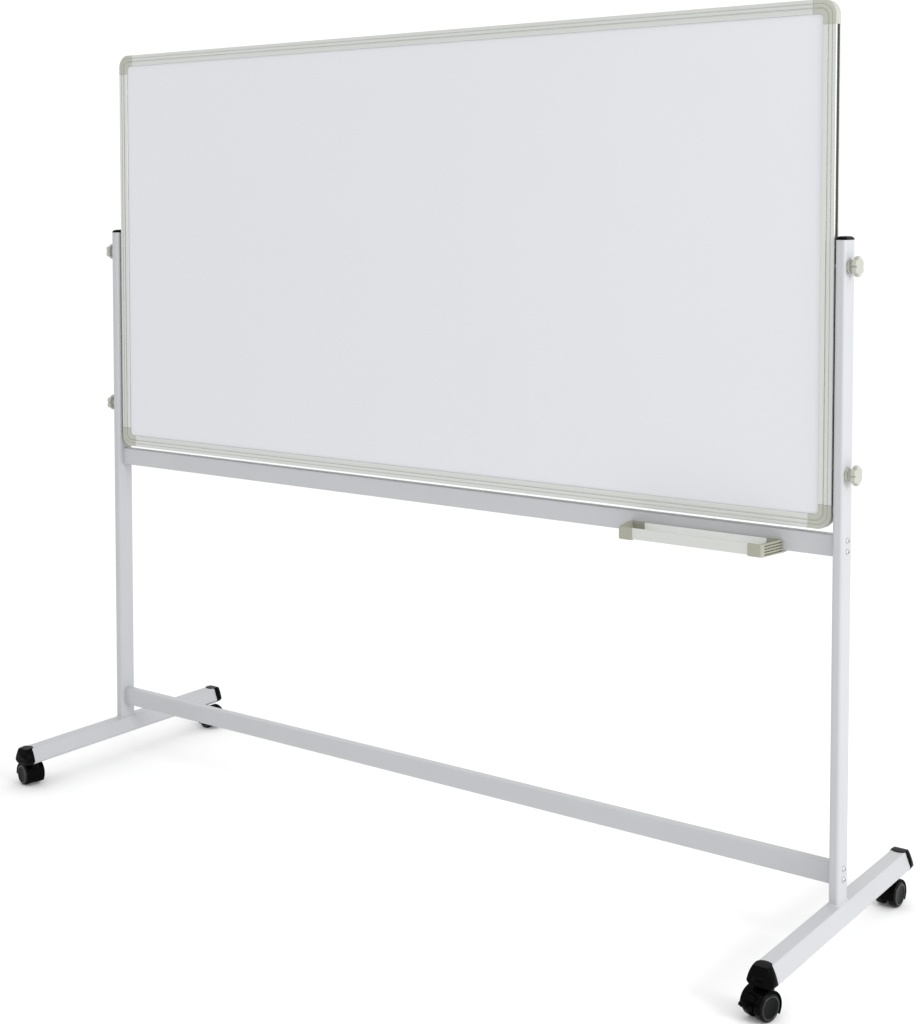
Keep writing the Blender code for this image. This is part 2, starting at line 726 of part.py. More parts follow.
def frame_profiles():
    outline = profile_outline()
    for name, side in SIDES.items():
        rail = prism([outline], BOARD_HEIGHT - 2 * (CORNER_LEG + GAP))
        inward = Matrix.Rotation(math.pi if side > 0 else 0.0, 4, "Z")
        place = Matrix.Translation((side * HALF_BOARD, 0.0, PIVOT_HEIGHT))
        placed(rail, place @ inward)
        bore = hole_along_x(SCREW_RADIUS + GAP, 0.0, PIVOT_HEIGHT, side * HALF_BOARD, 0.04)
        part(f"frame_profile_{name}", cut(rail, bore), ALUMINIUM)
    for name, direction in (("bottom", 1), ("top", -1)):
        rail = prism([outline], BOARD_WIDTH - 2 * (CORNER_LEG + GAP))
        # The outline's x becomes the way in from the edge and its length lies along X.
        inward = Matrix(((0, 0, 1, 0), (0, 1, 0, 0), (direction, 0, 0, 0), (0, 0, 0, 1)))
        edge = BOARD_BOTTOM if direction > 0 else BOARD_TOP
        placed(rail, Matrix.Translation((0.0, 0.0, edge)) @ inward)
        flip_if_inside_out(rail)
        part(f"frame_profile_{name}", rail, ALUMINIUM)


def flip_if_inside_out(obj):
    """A mirrored placement turns the faces over, so they are turned back."""
    shape = bmesh.new()
    shape.from_mesh(obj.data)
    bmesh.ops.recalc_face_normals(shape, faces=shape.faces)
    shape.to_mesh(obj.data)
    shape.free()


def corner_cover(name, side, height_side):
    """A moulded corner that covers the mitre: a rounded outside, and the panel's corner in its slot."""
    inner = 0.008
    arc_steps = 7
    outline = [(CORNER_LEG, 0.0), (CORNER_LEG, PROFILE_FACE)]
    for step in range(4):
        angle = math.pi / 2 * step / 3
        outline.append(
            (
                PROFILE_FACE + inner * (1 - math.sin(angle)),
                PROFILE_FACE + inner * (1 - math.cos(angle)),
            )
        )
    outline += [(PROFILE_FACE, CORNER_LEG), (0.0, CORNER_LEG)]
    for step in range(arc_steps + 1):
        angle = math.pi / 2 * step / arc_steps
        outline.append(
            (CORNER_RADIUS * (1 - math.cos(angle)), CORNER_RADIUS * (1 - math.sin(angle)))
        )
    cover = prism([outline], BOARD_THICKNESS)
    slot_size = 2 * CORNER_LEG
    slot_middle = PANEL_EDGE_INSET - GAP + slot_size / 2
    slot = box((slot_size, slot_size, PANEL_THICKNESS + 2 * GAP), (slot_middle, slot_middle, 0.0))
    cover = cut(cover, slot)
    bevel = cover.modifiers.new("Soft edges", "BEVEL")
    bevel.width = 0.0012
    bevel.segments = 1
    bevel.limit_method = "ANGLE"
    bevel.angle_limit = math.radians(50)
    cover = loose_object(*evaluated_mesh(cover))
    corner = (side * HALF_BOARD, 0.0, BOARD_TOP if height_side > 0 else BOARD_BOTTOM)
    inward = Matrix(
        ((-side, 0, 0, 0), (0, 0, 1, 0), (0, -height_side, 0, 0), (0, 0, 0, 1))
    )
    placed(cover, Matrix.Translation(corner) @ inward)
    flip_if_inside_out(cover)
    return part(name, cover, GREY_PLASTIC)


# ---------------------------------------------------------------- knobs


def star_head(bottom, top):
    """A six-lobed grip between two heights, with its edges rounded in."""
    points = KNOB_LOBES * 5
    levels = (
        (bottom, 0.90),
        (bottom + 0.0015, 1.0),
        (top - 0.0030, 1.0),
        (top - 0.0010, 0.95),
        (top, 0.84),
    )
    rings = []
    for z, scale in levels:
        ring = []
        for i in range(points):
            angle = 2 * math.pi * i / points
            radius = (KNOB_RADIUS + KNOB_LOBE_HEIGHT * math.cos(KNOB_LOBES * angle)) * scale
            ring.append((radius * math.cos(angle), radius * math.sin(angle), z))
        rings.append(ring)
    return loft(rings)


def knob_shape(stand_off):
    """The collar on the upright, the neck and the grip, along +Z from the upright's face."""
    collar = 0.0042
    neck_top = 0.0115 + stand_off
    neck = turned(
        [
            (0.0, neck_top),
            (KNOB_NECK_RADIUS, neck_top),
            (KNOB_NECK_RADIUS, collar + 0.001),
            (KNOB_COLLAR_RADIUS - 0.001, collar),
            (KNOB_COLLAR_RADIUS, collar - 0.001),
            (KNOB_COLLAR_RADIUS, 0.0),
            (0.0, 0.0),
        ],
        20,
    )
    return unite(star_head(0.0100 + stand_off, 0.0200 + stand_off), neck)


def pivot_knobs():
    """Each pivot knob's moulded-in screw runs through the upright into the board's side rail."""
    for name, side in SIDES.items():
        screw_end = HALF_BOARD - PANEL_EDGE_INSET + 0.0015
        screw_length = UPRIGHT_OUTER_X + GAP - screw_end
        screw = cylinder(SCREW_RADIUS, screw_length + 0.004, 16)
        placed(screw, Matrix.Translation((0.0, 0.0, (0.004 - screw_length) / 2)))
        outward = Matrix.Rotation(side * math.pi / 2, 4, "Y")
        place = (side * (UPRIGHT_OUTER_X + GAP), 0.0, PIVOT_HEIGHT)
        knob = placed(unite(knob_shape(0.0), screw), Matrix.Translation(place) @ outward)
        part(f"pivot_knob_{name}", knob, GREY_PLASTIC, None, (place[0], 0.0, PIVOT_HEIGHT))


def lock_screws():
    """Each lock knob holds a steel stud, whose tip bears on the board's side rail when it is screwed in."""
    tip_gap = 0.0005
    seat_depth = 0.014
    for name, side in SIDES.items():
        outward = Matrix.Rotation(side * math.pi / 2, 4, "Y")
        place = (side * (UPRIGHT_OUTER_X + GAP), 0.0, LOCK_HEIGHT)
        seat = cylinder(SCREW_RADIUS + GAP, 2 * seat_depth, 16)
        knob = cut(knob_shape(0.002), seat)
        placed(knob, Matrix.Translation(place) @ outward)
        part(f"lock_knob_{name}", knob, GREY_PLASTIC, None, place)
        tip = UPRIGHT_OUTER_X + GAP - HALF_BOARD - tip_gap
        head = seat_depth - GAP
        stud = turned(
            [
                (0.0, head),
                (SCREW_RADIUS, head),
                (SCREW_RADIUS, 0.001 - tip),
                (SCREW_RADIUS - 0.001, -tip),
                (0.0, -tip),
            ],
            16,
        )
        placed(stud, Matrix.Translation(place) @ outward)
        part(f"lock_stud_{name}", stud, ZINC_STEEL, None, place)


# ---------------------------------------------------------------- pen tray


def channel_outline():
    """The trough in YZ, from the middle of the tray's back edge: x runs to the front, y up."""
    back = TRAY_CAP_SKIN + GAP
    front = TRAY_DEPTH - TRAY_CAP_SKIN - GAP
    bottom = TRAY_CAP_SKIN + GAP
    top = TRAY_HEIGHT - 0.0004
    return [
        (back, bottom),
        (front, bottom),
        (front, top),
        (front - TRAY_WALL, top),
        (front - TRAY_WALL, bottom + TRAY_WALL),
        (back + TRAY_WALL, bottom + TRAY_WALL),
        (back + TRAY_WALL, top),
        (back, top),
    ]


def along_tray(x):
    """Places an outline of (way to the front, height) with its length along X."""
    frame = Matrix(((0, 0, 1, 0), (-1, 0, 0, 0), (0, 1, 0, 0), (0, 0, 0, 1)))
    return Matrix.Translation((x, BAR_FRONT_Y - GAP, TRAY_BOTTOM)) @ frame


def tray_end_cap(name, side, outer_x):
    """A moulded hollow end, slanted in plan: slots across its end wall and a lip under the crossbar."""
    corners = [
        (0.0, 0.0),
        (0.0, TRAY_CAP_LENGTH),
        (TRAY_DEPTH, TRAY_CAP_LENGTH),
        (TRAY_DEPTH, TRAY_SLANT),
    ]
    arc_steps = 4
    rounded_front = round_corners(corners, 0.006, arc_steps)[-arc_steps - 1 :]
    shell = prism([corners[:3] + rounded_front], TRAY_HEIGHT)
    # The outline's x runs to the front and its y from the outer end inwards.
    lay = Matrix(((0, -side, 0, 0), (-1, 0, 0, 0), (0, 0, 1, 0), (0, 0, 0, 1)))
    back_y = BAR_FRONT_Y - GAP
    place = Matrix.Translation((outer_x, back_y, TRAY_BOTTOM + TRAY_HEIGHT / 2)) @ lay
    back = TRAY_CAP_SKIN
    front = TRAY_DEPTH - TRAY_CAP_SKIN
    slope = TRAY_SLANT / TRAY_DEPTH
    hollow_outline = [
        (back, TRAY_CAP_END + back * slope),
        (back, 2 * TRAY_CAP_LENGTH),
        (front, 2 * TRAY_CAP_LENGTH),
        (front, TRAY_CAP_END + front * slope),
    ]
    hollow = placed(prism([hollow_outline], TRAY_HEIGHT), Matrix.Translation((0, 0, TRAY_CAP_SKIN)))
    cutters = [hollow]
    first_slot = -TRAY_SLOT_PITCH * (TRAY_SLOTS - 1) / 2
    slot_back = 0.003
    slot_front = TRAY_DEPTH - 0.007
    for slot in range(TRAY_SLOTS):
        slot_outline = [
            (slot_back, slot_back * slope + TRAY_SLOT_DEPTH),
            (slot_front, slot_front * slope + TRAY_SLOT_DEPTH),
            (slot_front, -0.01),
            (slot_back, -0.01),
        ]
        slit = prism([slot_outline], TRAY_SLOT_HEIGHT)
        cutters.append(placed(slit, Matrix.Translation((0, 0, first_slot + TRAY_SLOT_PITCH * slot))))
    lip_size = (TRAY_LIP_DEPTH + TRAY_CAP_SKIN, TRAY_CAP_LENGTH, TRAY_LIP_HEIGHT)
    lip_centre = (
        (TRAY_CAP_SKIN - TRAY_LIP_DEPTH) / 2,
        TRAY_CAP_LENGTH / 2,
        (TRAY_LIP_HEIGHT - TRAY_HEIGHT) / 2,
    )
    cap = cut(unite(shell, box(lip_size, lip_centre)), *cutters)
    placed(cap, place)
    flip_if_inside_out(cap)
    return part(name, cap, GREY_PLASTIC)


def pen_tray():
    middle = TRAY_LEFT + TRAY_LENGTH / 2
    channel_length = TRAY_LENGTH - 2 * (TRAY_CAP_LENGTH - TRAY_CAP_OVERLAP)
    channel = placed(prism([channel_outline()], channel_length), along_tray(middle))
    flip_if_inside_out(channel)
    part("tray_channel", channel, ALUMINIUM)
    for name, side in SIDES.items():
        tray_end_cap(f"tray_end_cap_{name}", side, middle + side * TRAY_LENGTH / 2)


# ---------------------------------------------------------------- assembly

for side_name, side_sign in SIDES.items():
    leg(f"leg_{side_name}", side_sign)
    upright_cap(f"upright_cap_{side_name}", side_sign)
    for end_name, end_sign in ENDS.items():
        foot_cap(f"foot_cap_{end_name}_{side_name}", side_sign, end_sign)
        caster(end_name, side_name, end_sign, side_sign)
    for level, direction in (("top", 1), ("bottom", -1)):
        corner_cover(f"corner_cover_{level}_{side_name}", side_sign, direction)

crossbar("crossbar_upper", UPPER_BAR_HEIGHT)
crossbar("crossbar_lower", LOWER_BAR_HEIGHT)
crossbar_bolts()
board_panel()
frame_profiles()
pivot_knobs()
lock_screws()
pen_tray()
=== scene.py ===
"""Rolling whiteboard: the visible surfaces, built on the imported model's own places and sizes.

X runs along the board, Y from its front to its back and Z up. All lengths are in metres.
"""

import json
import math

import bmesh
import bpy
from mathutils import Matrix, Vector


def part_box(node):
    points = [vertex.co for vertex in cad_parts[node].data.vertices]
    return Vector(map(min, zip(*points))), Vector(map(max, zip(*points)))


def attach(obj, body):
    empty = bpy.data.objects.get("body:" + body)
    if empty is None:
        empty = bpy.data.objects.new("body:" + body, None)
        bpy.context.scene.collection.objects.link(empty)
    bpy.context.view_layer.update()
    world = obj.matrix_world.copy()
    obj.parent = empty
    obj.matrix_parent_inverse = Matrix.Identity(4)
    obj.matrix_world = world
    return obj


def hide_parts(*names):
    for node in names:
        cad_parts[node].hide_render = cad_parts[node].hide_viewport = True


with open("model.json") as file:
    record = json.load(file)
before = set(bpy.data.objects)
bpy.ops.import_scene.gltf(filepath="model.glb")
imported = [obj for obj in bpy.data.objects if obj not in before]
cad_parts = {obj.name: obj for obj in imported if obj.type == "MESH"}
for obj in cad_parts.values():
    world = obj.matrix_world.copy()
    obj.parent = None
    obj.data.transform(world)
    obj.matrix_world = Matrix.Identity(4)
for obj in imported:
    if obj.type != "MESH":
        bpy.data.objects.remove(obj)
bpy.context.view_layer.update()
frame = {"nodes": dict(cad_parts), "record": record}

SIDES = {"left": -1, "right": 1}
ENDS = {"front": -1, "rear": 1}
LEVELS = {"bottom": -1, "top": 1}

# Meshes
SHARP_ANGLE = math.radians(38)
WELD_DISTANCE = 0.000005
CUT_MARGIN = 0.005

# Painted tubes
TUBE_WALL = 0.0015
UPRIGHT_WIDTH = 0.020
UPRIGHT_DEPTH = 0.044
UPRIGHT_ROUNDING = 0.006
BAR_ROUNDING = 0.0028
END_PLATE = 0.004
END_PLATE_INSET = 0.001
FOOT_HEIGHT = 0.036
FOOT_WIDEST_ABOVE_BASE = 0.007
FOOT_TOP_HALF = 0.014
FOOT_WIDEST_HALF = 0.025
FOOT_BOTTOM_HALF = 0.020
FOOT_ROUNDING = 0.0028
WELD_SIZE = 0.0030
WELD_RIPPLE = 0.00022
WELD_PITCH = 0.0024

# Plugs in the tubes' ends
PLUG_LENGTH = 0.012
FIT_GAP = 0.0003
FOOT_CAP_PROUD = 0.0015
FOOT_CAP_BOW = 0.0014
FOOT_CAP_TONGUE = 0.010

# Board frame: the rails' section, measured inwards from the board's edge
BOARD_HALF_THICKNESS = 0.010
RAIL_FACE = 0.026
SLOT_START = 0.0137
SLOT_HALF = 0.0070
CHANNEL_HALF = 0.0056
CHANNEL_DEPTH = 0.010
OUTER_GROOVE = 0.0078
OUTER_GROOVE_HALF = 0.0008
OUTER_GROOVE_DEPTH = 0.0016
INNER_GROOVE = 0.0156
INNER_GROOVE_HALF = 0.0013
INNER_GROOVE_DEPTH = 0.0024
GROOVE_DRAFT = 0.0002
BAND_DROP = 0.0006
INNER_BAND_DROP = 0.0004
CORNER_LEG = 0.045
CORNER_RADIUS = 0.028
CORNER_INNER_RADIUS = 0.008

# Knobs
KNOB_LOBES = 6
KNOB_VALLEY = 0.0136
KNOB_PEAK = 0.0185
KNOB_GRIP_HEIGHT = 0.010
KNOB_COLLAR_RADIUS = 0.0125
KNOB_COLLAR_HEIGHT = 0.0042
KNOB_NECK_RADIUS = 0.009
KNOB_HOLLOW_RADIUS = 0.0085
KNOB_HOLLOW_DEPTH = 0.0006
SCREW_RADIUS = 0.004
SCREW_CHAMFER = 0.0006
THREAD_PITCH = 0.00125
THREAD_DEPTH = 0.0006
STUD_SEAT_DEPTH = 0.014

# Casters
TRAIL = 0.020
WHEEL_WIDTH = 0.016
WHEEL_INNER_FACE = 0.007
WHEEL_RING_RADIUS = 0.0192
WHEEL_RING_HALF = 0.0014
FENDER_RADIUS = 0.0287
FENDER_THICKNESS = 0.0025
FENDER_HALF_WIDTH = 0.022
FENDER_FIRST = -37.0
FENDER_LAST = 190.0
HUB_WEB = 0.012
BOSS_RADIUS = 0.0085
BOSS_FOOT_RADIUS = 0.0092
AXLE_RADIUS = 0.003
AXLE_CHAMFER = 0.0004
AXLE_SHORT_OF_FACE = 0.004
RUNNING_GAP = 0.00012
BRAKE_HALF_WIDTH = 0.0084
BRAKE_HINGE_RADIUS = 0.028
BRAKE_HINGE_ANGLE = 140.0
BRAKE_PIN_RADIUS = 0.0012
BRAKE_PIN_REACH = 0.0115
BRAKE_EAR_RADIUS = 0.0024
BRAKE_KNUCKLE_RADIUS = 0.0019

# Pen tray
TRAY_SLANT = 0.011
TRAY_CAP_SKIN = 0.0015
TRAY_CAP_END = 0.0055
TRAY_LIP_HEIGHT = 0.003
TRAY_WALL = 0.002
TRAY_SLOTS = 4
TRAY_SLOT_PITCH = 0.0053
TRAY_SLOT_HEIGHT = 0.0031
TRAY_SLOT_DEPTH = 0.005
TRAY_SLOT_BACK_MARGIN = 0.003
TRAY_SLOT_FRONT_MARGIN = 0.0075
TRAY_CORNER = 0.006

# Bolts
BOLT_RADIUS = 0.003
BOLT_CHAMFER = 0.0006
BOLT_HEAD_RADIUS = 0.00525
BOLT_HEAD_HEIGHT = 0.003
BOLT_SOCKET_MOUTH = 0.0029
BOLT_SOCKET_RADIUS = 0.0025
BOLT_SOCKET_DEPTH = 0.0050


# ------------ shapes


def quarter_turn(steps):
    """The angles from 0 to a right angle in equal steps."""
    return [math.pi / 2 * step / steps for step in range(steps + 1)]


def rounded(corners, steps=5):
    """A closed outline through corners of (x, y, radius), each turned into an arc of its radius."""
    outline = []
    for i, (x, y, radius) in enumerate(corners):
        here = Vector((x, y))
        if radius == 0:
            outline.append((x, y))
            continue
        before = (Vector(corners[i - 1][:2]) - here).normalized()
        after = (Vector(corners[(i + 1) % len(corners)][:2]) - here).normalized()
        half_angle = before.angle(after) / 2
        reach = radius / math.tan(half_angle)
        centre = here + (before + after).normalized() * radius / math.sin(half_angle)
        start = here + before * reach - centre
        turn = start.angle_signed(here + after * reach - centre)
        for step in range(steps + 1):
            spoke = start.copy()
            spoke.rotate(Matrix.Rotation(-turn * step / steps, 2))
            outline.append(tuple(centre + spoke))
    return outline


def rectangle(width, height, radius, steps=6):
    half_w = width / 2
    half_h = height / 2
    corners = ((-half_w, -half_h), (half_w, -half_h), (half_w, half_h), (-half_w, half_h))
    return rounded([(x, y, radius) for x, y in corners], steps)


def finished_shape(shape):
    """The bmesh as an object at the origin, with its faces turned outwards."""
    bmesh.ops.recalc_face_normals(shape, faces=shape.faces)
    mesh = bpy.data.meshes.new("shape")
    shape.to_mesh(mesh)
    shape.free()
    obj = bpy.data.objects.new("shape", mesh)
    bpy.context.scene.collection.objects.link(obj)
    return obj


def loft(rings, closed=False):
    """A solid through rings of equally many points, joined end to end if closed, or else capped."""
    shape = bmesh.new()
    rows = [[shape.verts.new(point) for point in ring] for ring in rings]
    pairs = list(zip(rows, rows[1:]))
    if closed:
        pairs.append((rows[-1], rows[0]))
    else:
        shape.faces.new(rows[0])
        shape.faces.new(rows[-1])
    for low, high in pairs:
        for i in range(len(low)):
            j = (i + 1) % len(low)
            shape.faces.new((low[i], low[j], high[j], high[i]))
    return finished_shape(shape)


def turned(profile, steps=48, matrix=Matrix()):
    """A profile of (radius, z) points, from the axis and back to it, turned about Z."""
    shape = bmesh.new()
    rows = []
    for radius, z in profile:
        if radius == 0:
            rows.append([shape.verts.new(matrix @ Vector((0.0, 0.0, z)))] * steps)
            continue
        angles = [2 * math.pi * step / steps for step in range(steps)]
        points = [(radius * math.cos(angle), radius * math.sin(angle), z) for angle in angles]
        rows.append([shape.verts.new(matrix @ Vector(point)) for point in points])
    for low, high in zip(rows, rows[1:]):
        for i in range(steps):
            j = (i + 1) % steps
            corners = list(dict.fromkeys((low[i], low[j], high[j], high[i])))
            shape.faces.new(corners)
    return finished_shape(shape)


def rod(radius, start, end, matrix, steps=32):
    """A plain cylinder between two heights on the matrix's Z axis."""
    return turned([(0, start), (radius, start), (radius, end), (0, end)], steps, matrix)


def cylinder(radius, start, end, steps=32):
    """A plain cylinder between two points."""
    start = Vector(start)
    axis = Vector(end) - start
    matrix = Matrix.Translation(start) @ axis.to_track_quat("Z", "Y").to_matrix().to_4x4()
    return rod(radius, 0, axis.length, matrix, steps)


def block(low, high):
    """A box between two corners, used as a cutter or a plain hidden plate."""
    shape = bmesh.new()
    bmesh.ops.create_cube(shape, size=1.0)
    low = Vector(low)
    size = Vector(high) - low
    for vert in shape.verts:
        vert.co = low + Vector(((vert.co[i] + 0.5) * size[i] for i in range(3)))
    return finished_shape(shape)


def applied(obj):
    """The object with its modifiers worked into its mesh."""
    bpy.context.view_layer.update()
    graph = bpy.context.evaluated_depsgraph_get()
    mesh = bpy.data.meshes.new_from_object(obj.evaluated_get(graph))
    bpy.data.objects.remove(obj)
    result = bpy.data.objects.new("shape", mesh)
    bpy.context.scene.collection.objects.link(result)
    return result


def combined(obj, operation, others):
    for other in others:
        boolean = obj.modifiers.new("Combine", "BOOLEAN")
        boolean.operation = operation
        boolean.solver = "EXACT"
        boolean.object = other
    result = applied(obj)
    for other in others:
        bpy.data.objects.remove(other)
    return result


def cut(obj, *cutters):
    return combined(obj, "DIFFERENCE", cutters)


def united(obj, *others):
    return combined(obj, "UNION", others)


def piece(shape, node, material):
    """The shape as the visible piece that stands for a CAD node, on the node's body."""
    shape.name = f"{node}_detailed"
    mesh = shape.data
    mesh.name = shape.name
    weld = bmesh.new()
    weld.from_mesh(mesh)
    bmesh.ops.remove_doubles(weld, verts=weld.verts, dist=WELD_DISTANCE)
    weld.to_mesh(mesh)
    weld.free()
    mesh.shade_smooth()
    mesh.set_sharp_from_angle(angle=SHARP_ANGLE)
    mesh.materials.clear()
    mesh.materials.append(material)
    normals = shape.modifiers.new("Even shading", "WEIGHTED_NORMAL")
    normals.keep_sharp = True
    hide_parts(node)
    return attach(shape, BODY_OF[node])


BODY_OF = {}
for body_name, members in frame["record"]["behaviour"]["bodies"].items():
    for member in members:
        BODY_OF[member] = body_name


def middle(node):
    low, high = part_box(node)
    return (low + high) / 2


# ------------ materials

NOISE_LOW = 0.3
NOISE_HIGH = 0.7
SLOW_SHARE = 60
COAT_ROUGHNESS = 0.08


def noise_texture(nodes, links, scale, stretch=(1.0, 1.0, 1.0), detail=3.0):
    """Noise in the piece's own space, with `scale` features to a metre."""
    coordinates = nodes.new("ShaderNodeTexCoord")
    mapping = nodes.new("ShaderNodeMapping")
    mapping.inputs["Scale"].default_value = stretch
    texture = nodes.new("ShaderNodeTexNoise")
    texture.inputs["Scale"].default_value = scale
    texture.inputs["Detail"].default_value = detail
    links.new(coordinates.outputs["Object"], mapping.inputs["Vector"])
    links.new(mapping.outputs["Vector"], texture.inputs["Vector"])
    return texture.outputs["Fac"]


def between(nodes, links, factor, low, high):
    """A number that follows the factor from low to high."""
    ramp = nodes.new("ShaderNodeMapRange")
    ramp.inputs["From Min"].default_value = NOISE_LOW
    ramp.inputs["From Max"].default_value = NOISE_HIGH
    ramp.inputs["To Min"].default_value = low
    ramp.inputs["To Max"].default_value = high
    links.new(factor, ramp.inputs["Value"])
    return ramp.outputs["Result"]


def shaded(nodes, links, factor, colour, spread):
    """The colour, made darker and lighter by the share `spread` as the factor changes."""
    ramp = nodes.new("ShaderNodeValToRGB")
    ramp.color_ramp.elements[0].position = NOISE_LOW
    ramp.color_ramp.elements[1].position = NOISE_HIGH
    for element, share in zip(ramp.color_ramp.elements, (1 - spread, 1 + spread)):
        element.color = (*(min(1.0, channel * share) for channel in colour), 1.0)
    links.new(factor, ramp.inputs["Fac"])
    return ramp.outputs["Color"]


def bump(nodes, links, shader, height, distance):
    node = nodes.new("ShaderNodeBump")
    node.inputs["Strength"].default_value = 1.0
    node.inputs["Distance"].default_value = distance
    links.new(height, node.inputs["Height"])
    links.new(node.outputs["Normal"], shader.inputs["Normal"])


def surface(
    name, colour, roughness, grain, relief,
    metallic=0.0, specular=0.5, stretch=(1.0, 1.0, 1.0), mottle=0.03, coat=0.0,
):
    """A finish with a fine grain that roughens it, a slow change of shade, and a relief in metres."""
    material = bpy.data.materials.new(name)
    material.use_nodes = True
    nodes = material.node_tree.nodes
    links = material.node_tree.links
    shader = nodes["Principled BSDF"]
    shader.inputs["Metallic"].default_value = metallic
    shader.inputs["Specular IOR Level"].default_value = specular
    if coat > 0:
        shader.inputs["Coat Weight"].default_value = coat
        shader.inputs["Coat Roughness"].default_value = COAT_ROUGHNESS
    fine = noise_texture(nodes, links, grain, stretch)
    slow = noise_texture(nodes, links, grain / SLOW_SHARE, stretch, detail=2.0)
    links.new(shaded(nodes, links, slow, colour, mottle), shader.inputs["Base Color"])
    rough = between(nodes, links, fine, roughness * 0.88, roughness * 1.12)
    links.new(rough, shader.inputs["Roughness"])
    bump(nodes, links, shader, fine, relief)
    return material


PAINT = surface("powder_coat", (0.458, 0.464, 0.481), 0.42, 520.0, 0.00004, mottle=0.012)
GREY_PLASTIC = surface("moulded_grey", (0.335, 0.338, 0.275), 0.52, 1400.0, 0.00005, specular=0.35)
PALE_PLASTIC = surface("moulded_pale_grey", (0.42, 0.425, 0.375), 0.52, 1400.0, 0.00005, specular=0.35)
BLACK_PLASTIC = surface("moulded_black", (0.0014, 0.0014, 0.0015), 0.24, 1500.0, 0.00002, specular=0.035)
NYLON = (0.0024, 0.0032, 0.0034)
WHEEL_PLASTIC = surface("wheel_nylon", NYLON, 0.24, 1200.0, 0.00003, specular=0.07)
WHEEL_RING = surface("polished_nylon", NYLON, 0.20, 1200.0, 0.00001, specular=0.45)
ZINC = surface("zinc_plate", (0.38, 0.39, 0.41), 0.34, 900.0, 0.00002, metallic=1.0, mottle=0.06)
BOLT_STEEL = surface("bolt_steel", (0.52, 0.52, 0.53), 0.35, 900.0, 0.00002, metallic=0.9, mottle=0.05)
BRUSHING = {"X": (0.004, 1.0, 1.0), "Z": (1.0, 1.0, 0.004)}


def brushed(name, colour, roughness, metallic, axis, mottle=0.03):
    """Aluminium with its grain drawn out along an axis."""
    grain = 1500.0
    relief = 0.000012
    return surface(name, colour, roughness, grain, relief, metallic, stretch=BRUSHING[axis], mottle=mottle)


ALUMINIUM = {
    axis: brushed(f"satin_aluminium_along_{axis.lower()}", (0.585, 0.598, 0.575), 0.40, 0.55, axis)
    for axis in BRUSHING
}
# A paler, less metallic aluminium for the tray's inside faces: partly a lighter inner finish, partly painted
# light that lifts the trough out of its own shade.
PALER_INSIDE_AND_PAINTED_LIGHT = brushed("paler_inside_and_painted_light", (0.78, 0.79, 0.77), 0.5, 0.1, "X", mottle=0.02)
# Painted shade: a dark aluminium for the faces inside the rails' channels, standing in for the shade in the
# hollow.
PAINTED_SHADE_ALUMINIUM = surface("aluminium_with_painted_shade", (0.16, 0.16, 0.15), 0.6, 900.0, 0.000006, metallic=0.2)
ENAMEL = surface("white_enamel", (0.643, 0.652, 0.680), 0.22, 260.0, 0.000006, mottle=0.004, coat=0.3)
FIBRES = (0.3, 1.0, 1.0)
FIBREBOARD = surface(
    "pressed_fibre", (0.36, 0.25, 0.14), 0.85, 700.0, 0.0002, specular=0.2, stretch=FIBRES, mottle=0.2
)


# ------------ legs and crossbars


def foot_outline(inset=0.0, steps=6):
    """The foot's section, above its own base: a narrow flat top, sloping sides, a chamfered base."""
    slope = Vector(
        (FOOT_WIDEST_HALF - FOOT_TOP_HALF, FOOT_HEIGHT - FOOT_WIDEST_ABOVE_BASE)
    ).normalized()
    top_half = FOOT_TOP_HALF + inset * (slope.x - 1) / slope.y
    widest = FOOT_WIDEST_HALF - inset / slope.y
    bottom_half = FOOT_BOTTOM_HALF - inset * 0.5
    radius = FOOT_ROUNDING - inset * 0.8
    right = [
        (bottom_half, inset, radius),
        (widest, FOOT_WIDEST_ABOVE_BASE, radius),
        (top_half, FOOT_HEIGHT - inset, radius),
    ]
    left = [(-x, z, r) for x, z, r in reversed(right)]
    return rounded(right + left, steps)


def upright_outline(inset=0.0, steps=6):
    width = UPRIGHT_WIDTH - 2 * inset
    depth = UPRIGHT_DEPTH - 2 * inset
    return rectangle(width, depth, UPRIGHT_ROUNDING - inset, steps)


def weld_bead(x, y, z):
    """A fillet weld round the upright's base, with the ripples that the torch leaves along it."""
    root = 0.0006
    steps_to_a_ripple = 5
    sag_share = 0.22
    arc_steps = 5
    dense = []
    corners = upright_outline(0.0, 8)
    for i, start in enumerate(corners):
        start = Vector(start)
        end = Vector(corners[(i + 1) % len(corners)])
        count = max(1, round((end - start).length / (WELD_PITCH / steps_to_a_ripple)))
        dense += [start.lerp(end, step / count) for step in range(count)]
    lengths = [0.0]
    for here, after in zip(dense, dense[1:]):
        lengths.append(lengths[-1] + (after - here).length)
    rings = []
    for i, (here, travelled) in enumerate(zip(dense, lengths)):
        along = dense[(i + 1) % len(dense)] - dense[i - 1]
        outward = Vector((along.y, -along.x)).normalized()
        ripple = WELD_RIPPLE * abs(math.sin(math.pi * travelled / WELD_PITCH))
        size = WELD_SIZE + ripple
        ring = [(-root, -root), (size, -root)]
        for angle in quarter_turn(arc_steps):
            sag = 1 - sag_share * math.sin(2 * angle)
            ring.append((size * math.cos(angle) * sag, size * math.sin(angle) * sag))
        ring.append((-root, size))
        points = []
        for out, up in ring:
            place = here + outward * out
            points.append((x + place.x, y + place.y, z + up))
        rings.append(points)
    return loft(rings, closed=True)


def tube(outer, inner, places):
    """A hollow tube: `places` turns an outline's point and an end number into a point in space."""
    ends = (0, 1)
    rings = [[places(point, end) for point in outer] for end in ends]
    rings += [[places(point, end) for point in inner] for end in reversed(ends)]
    return loft(rings, closed=True)


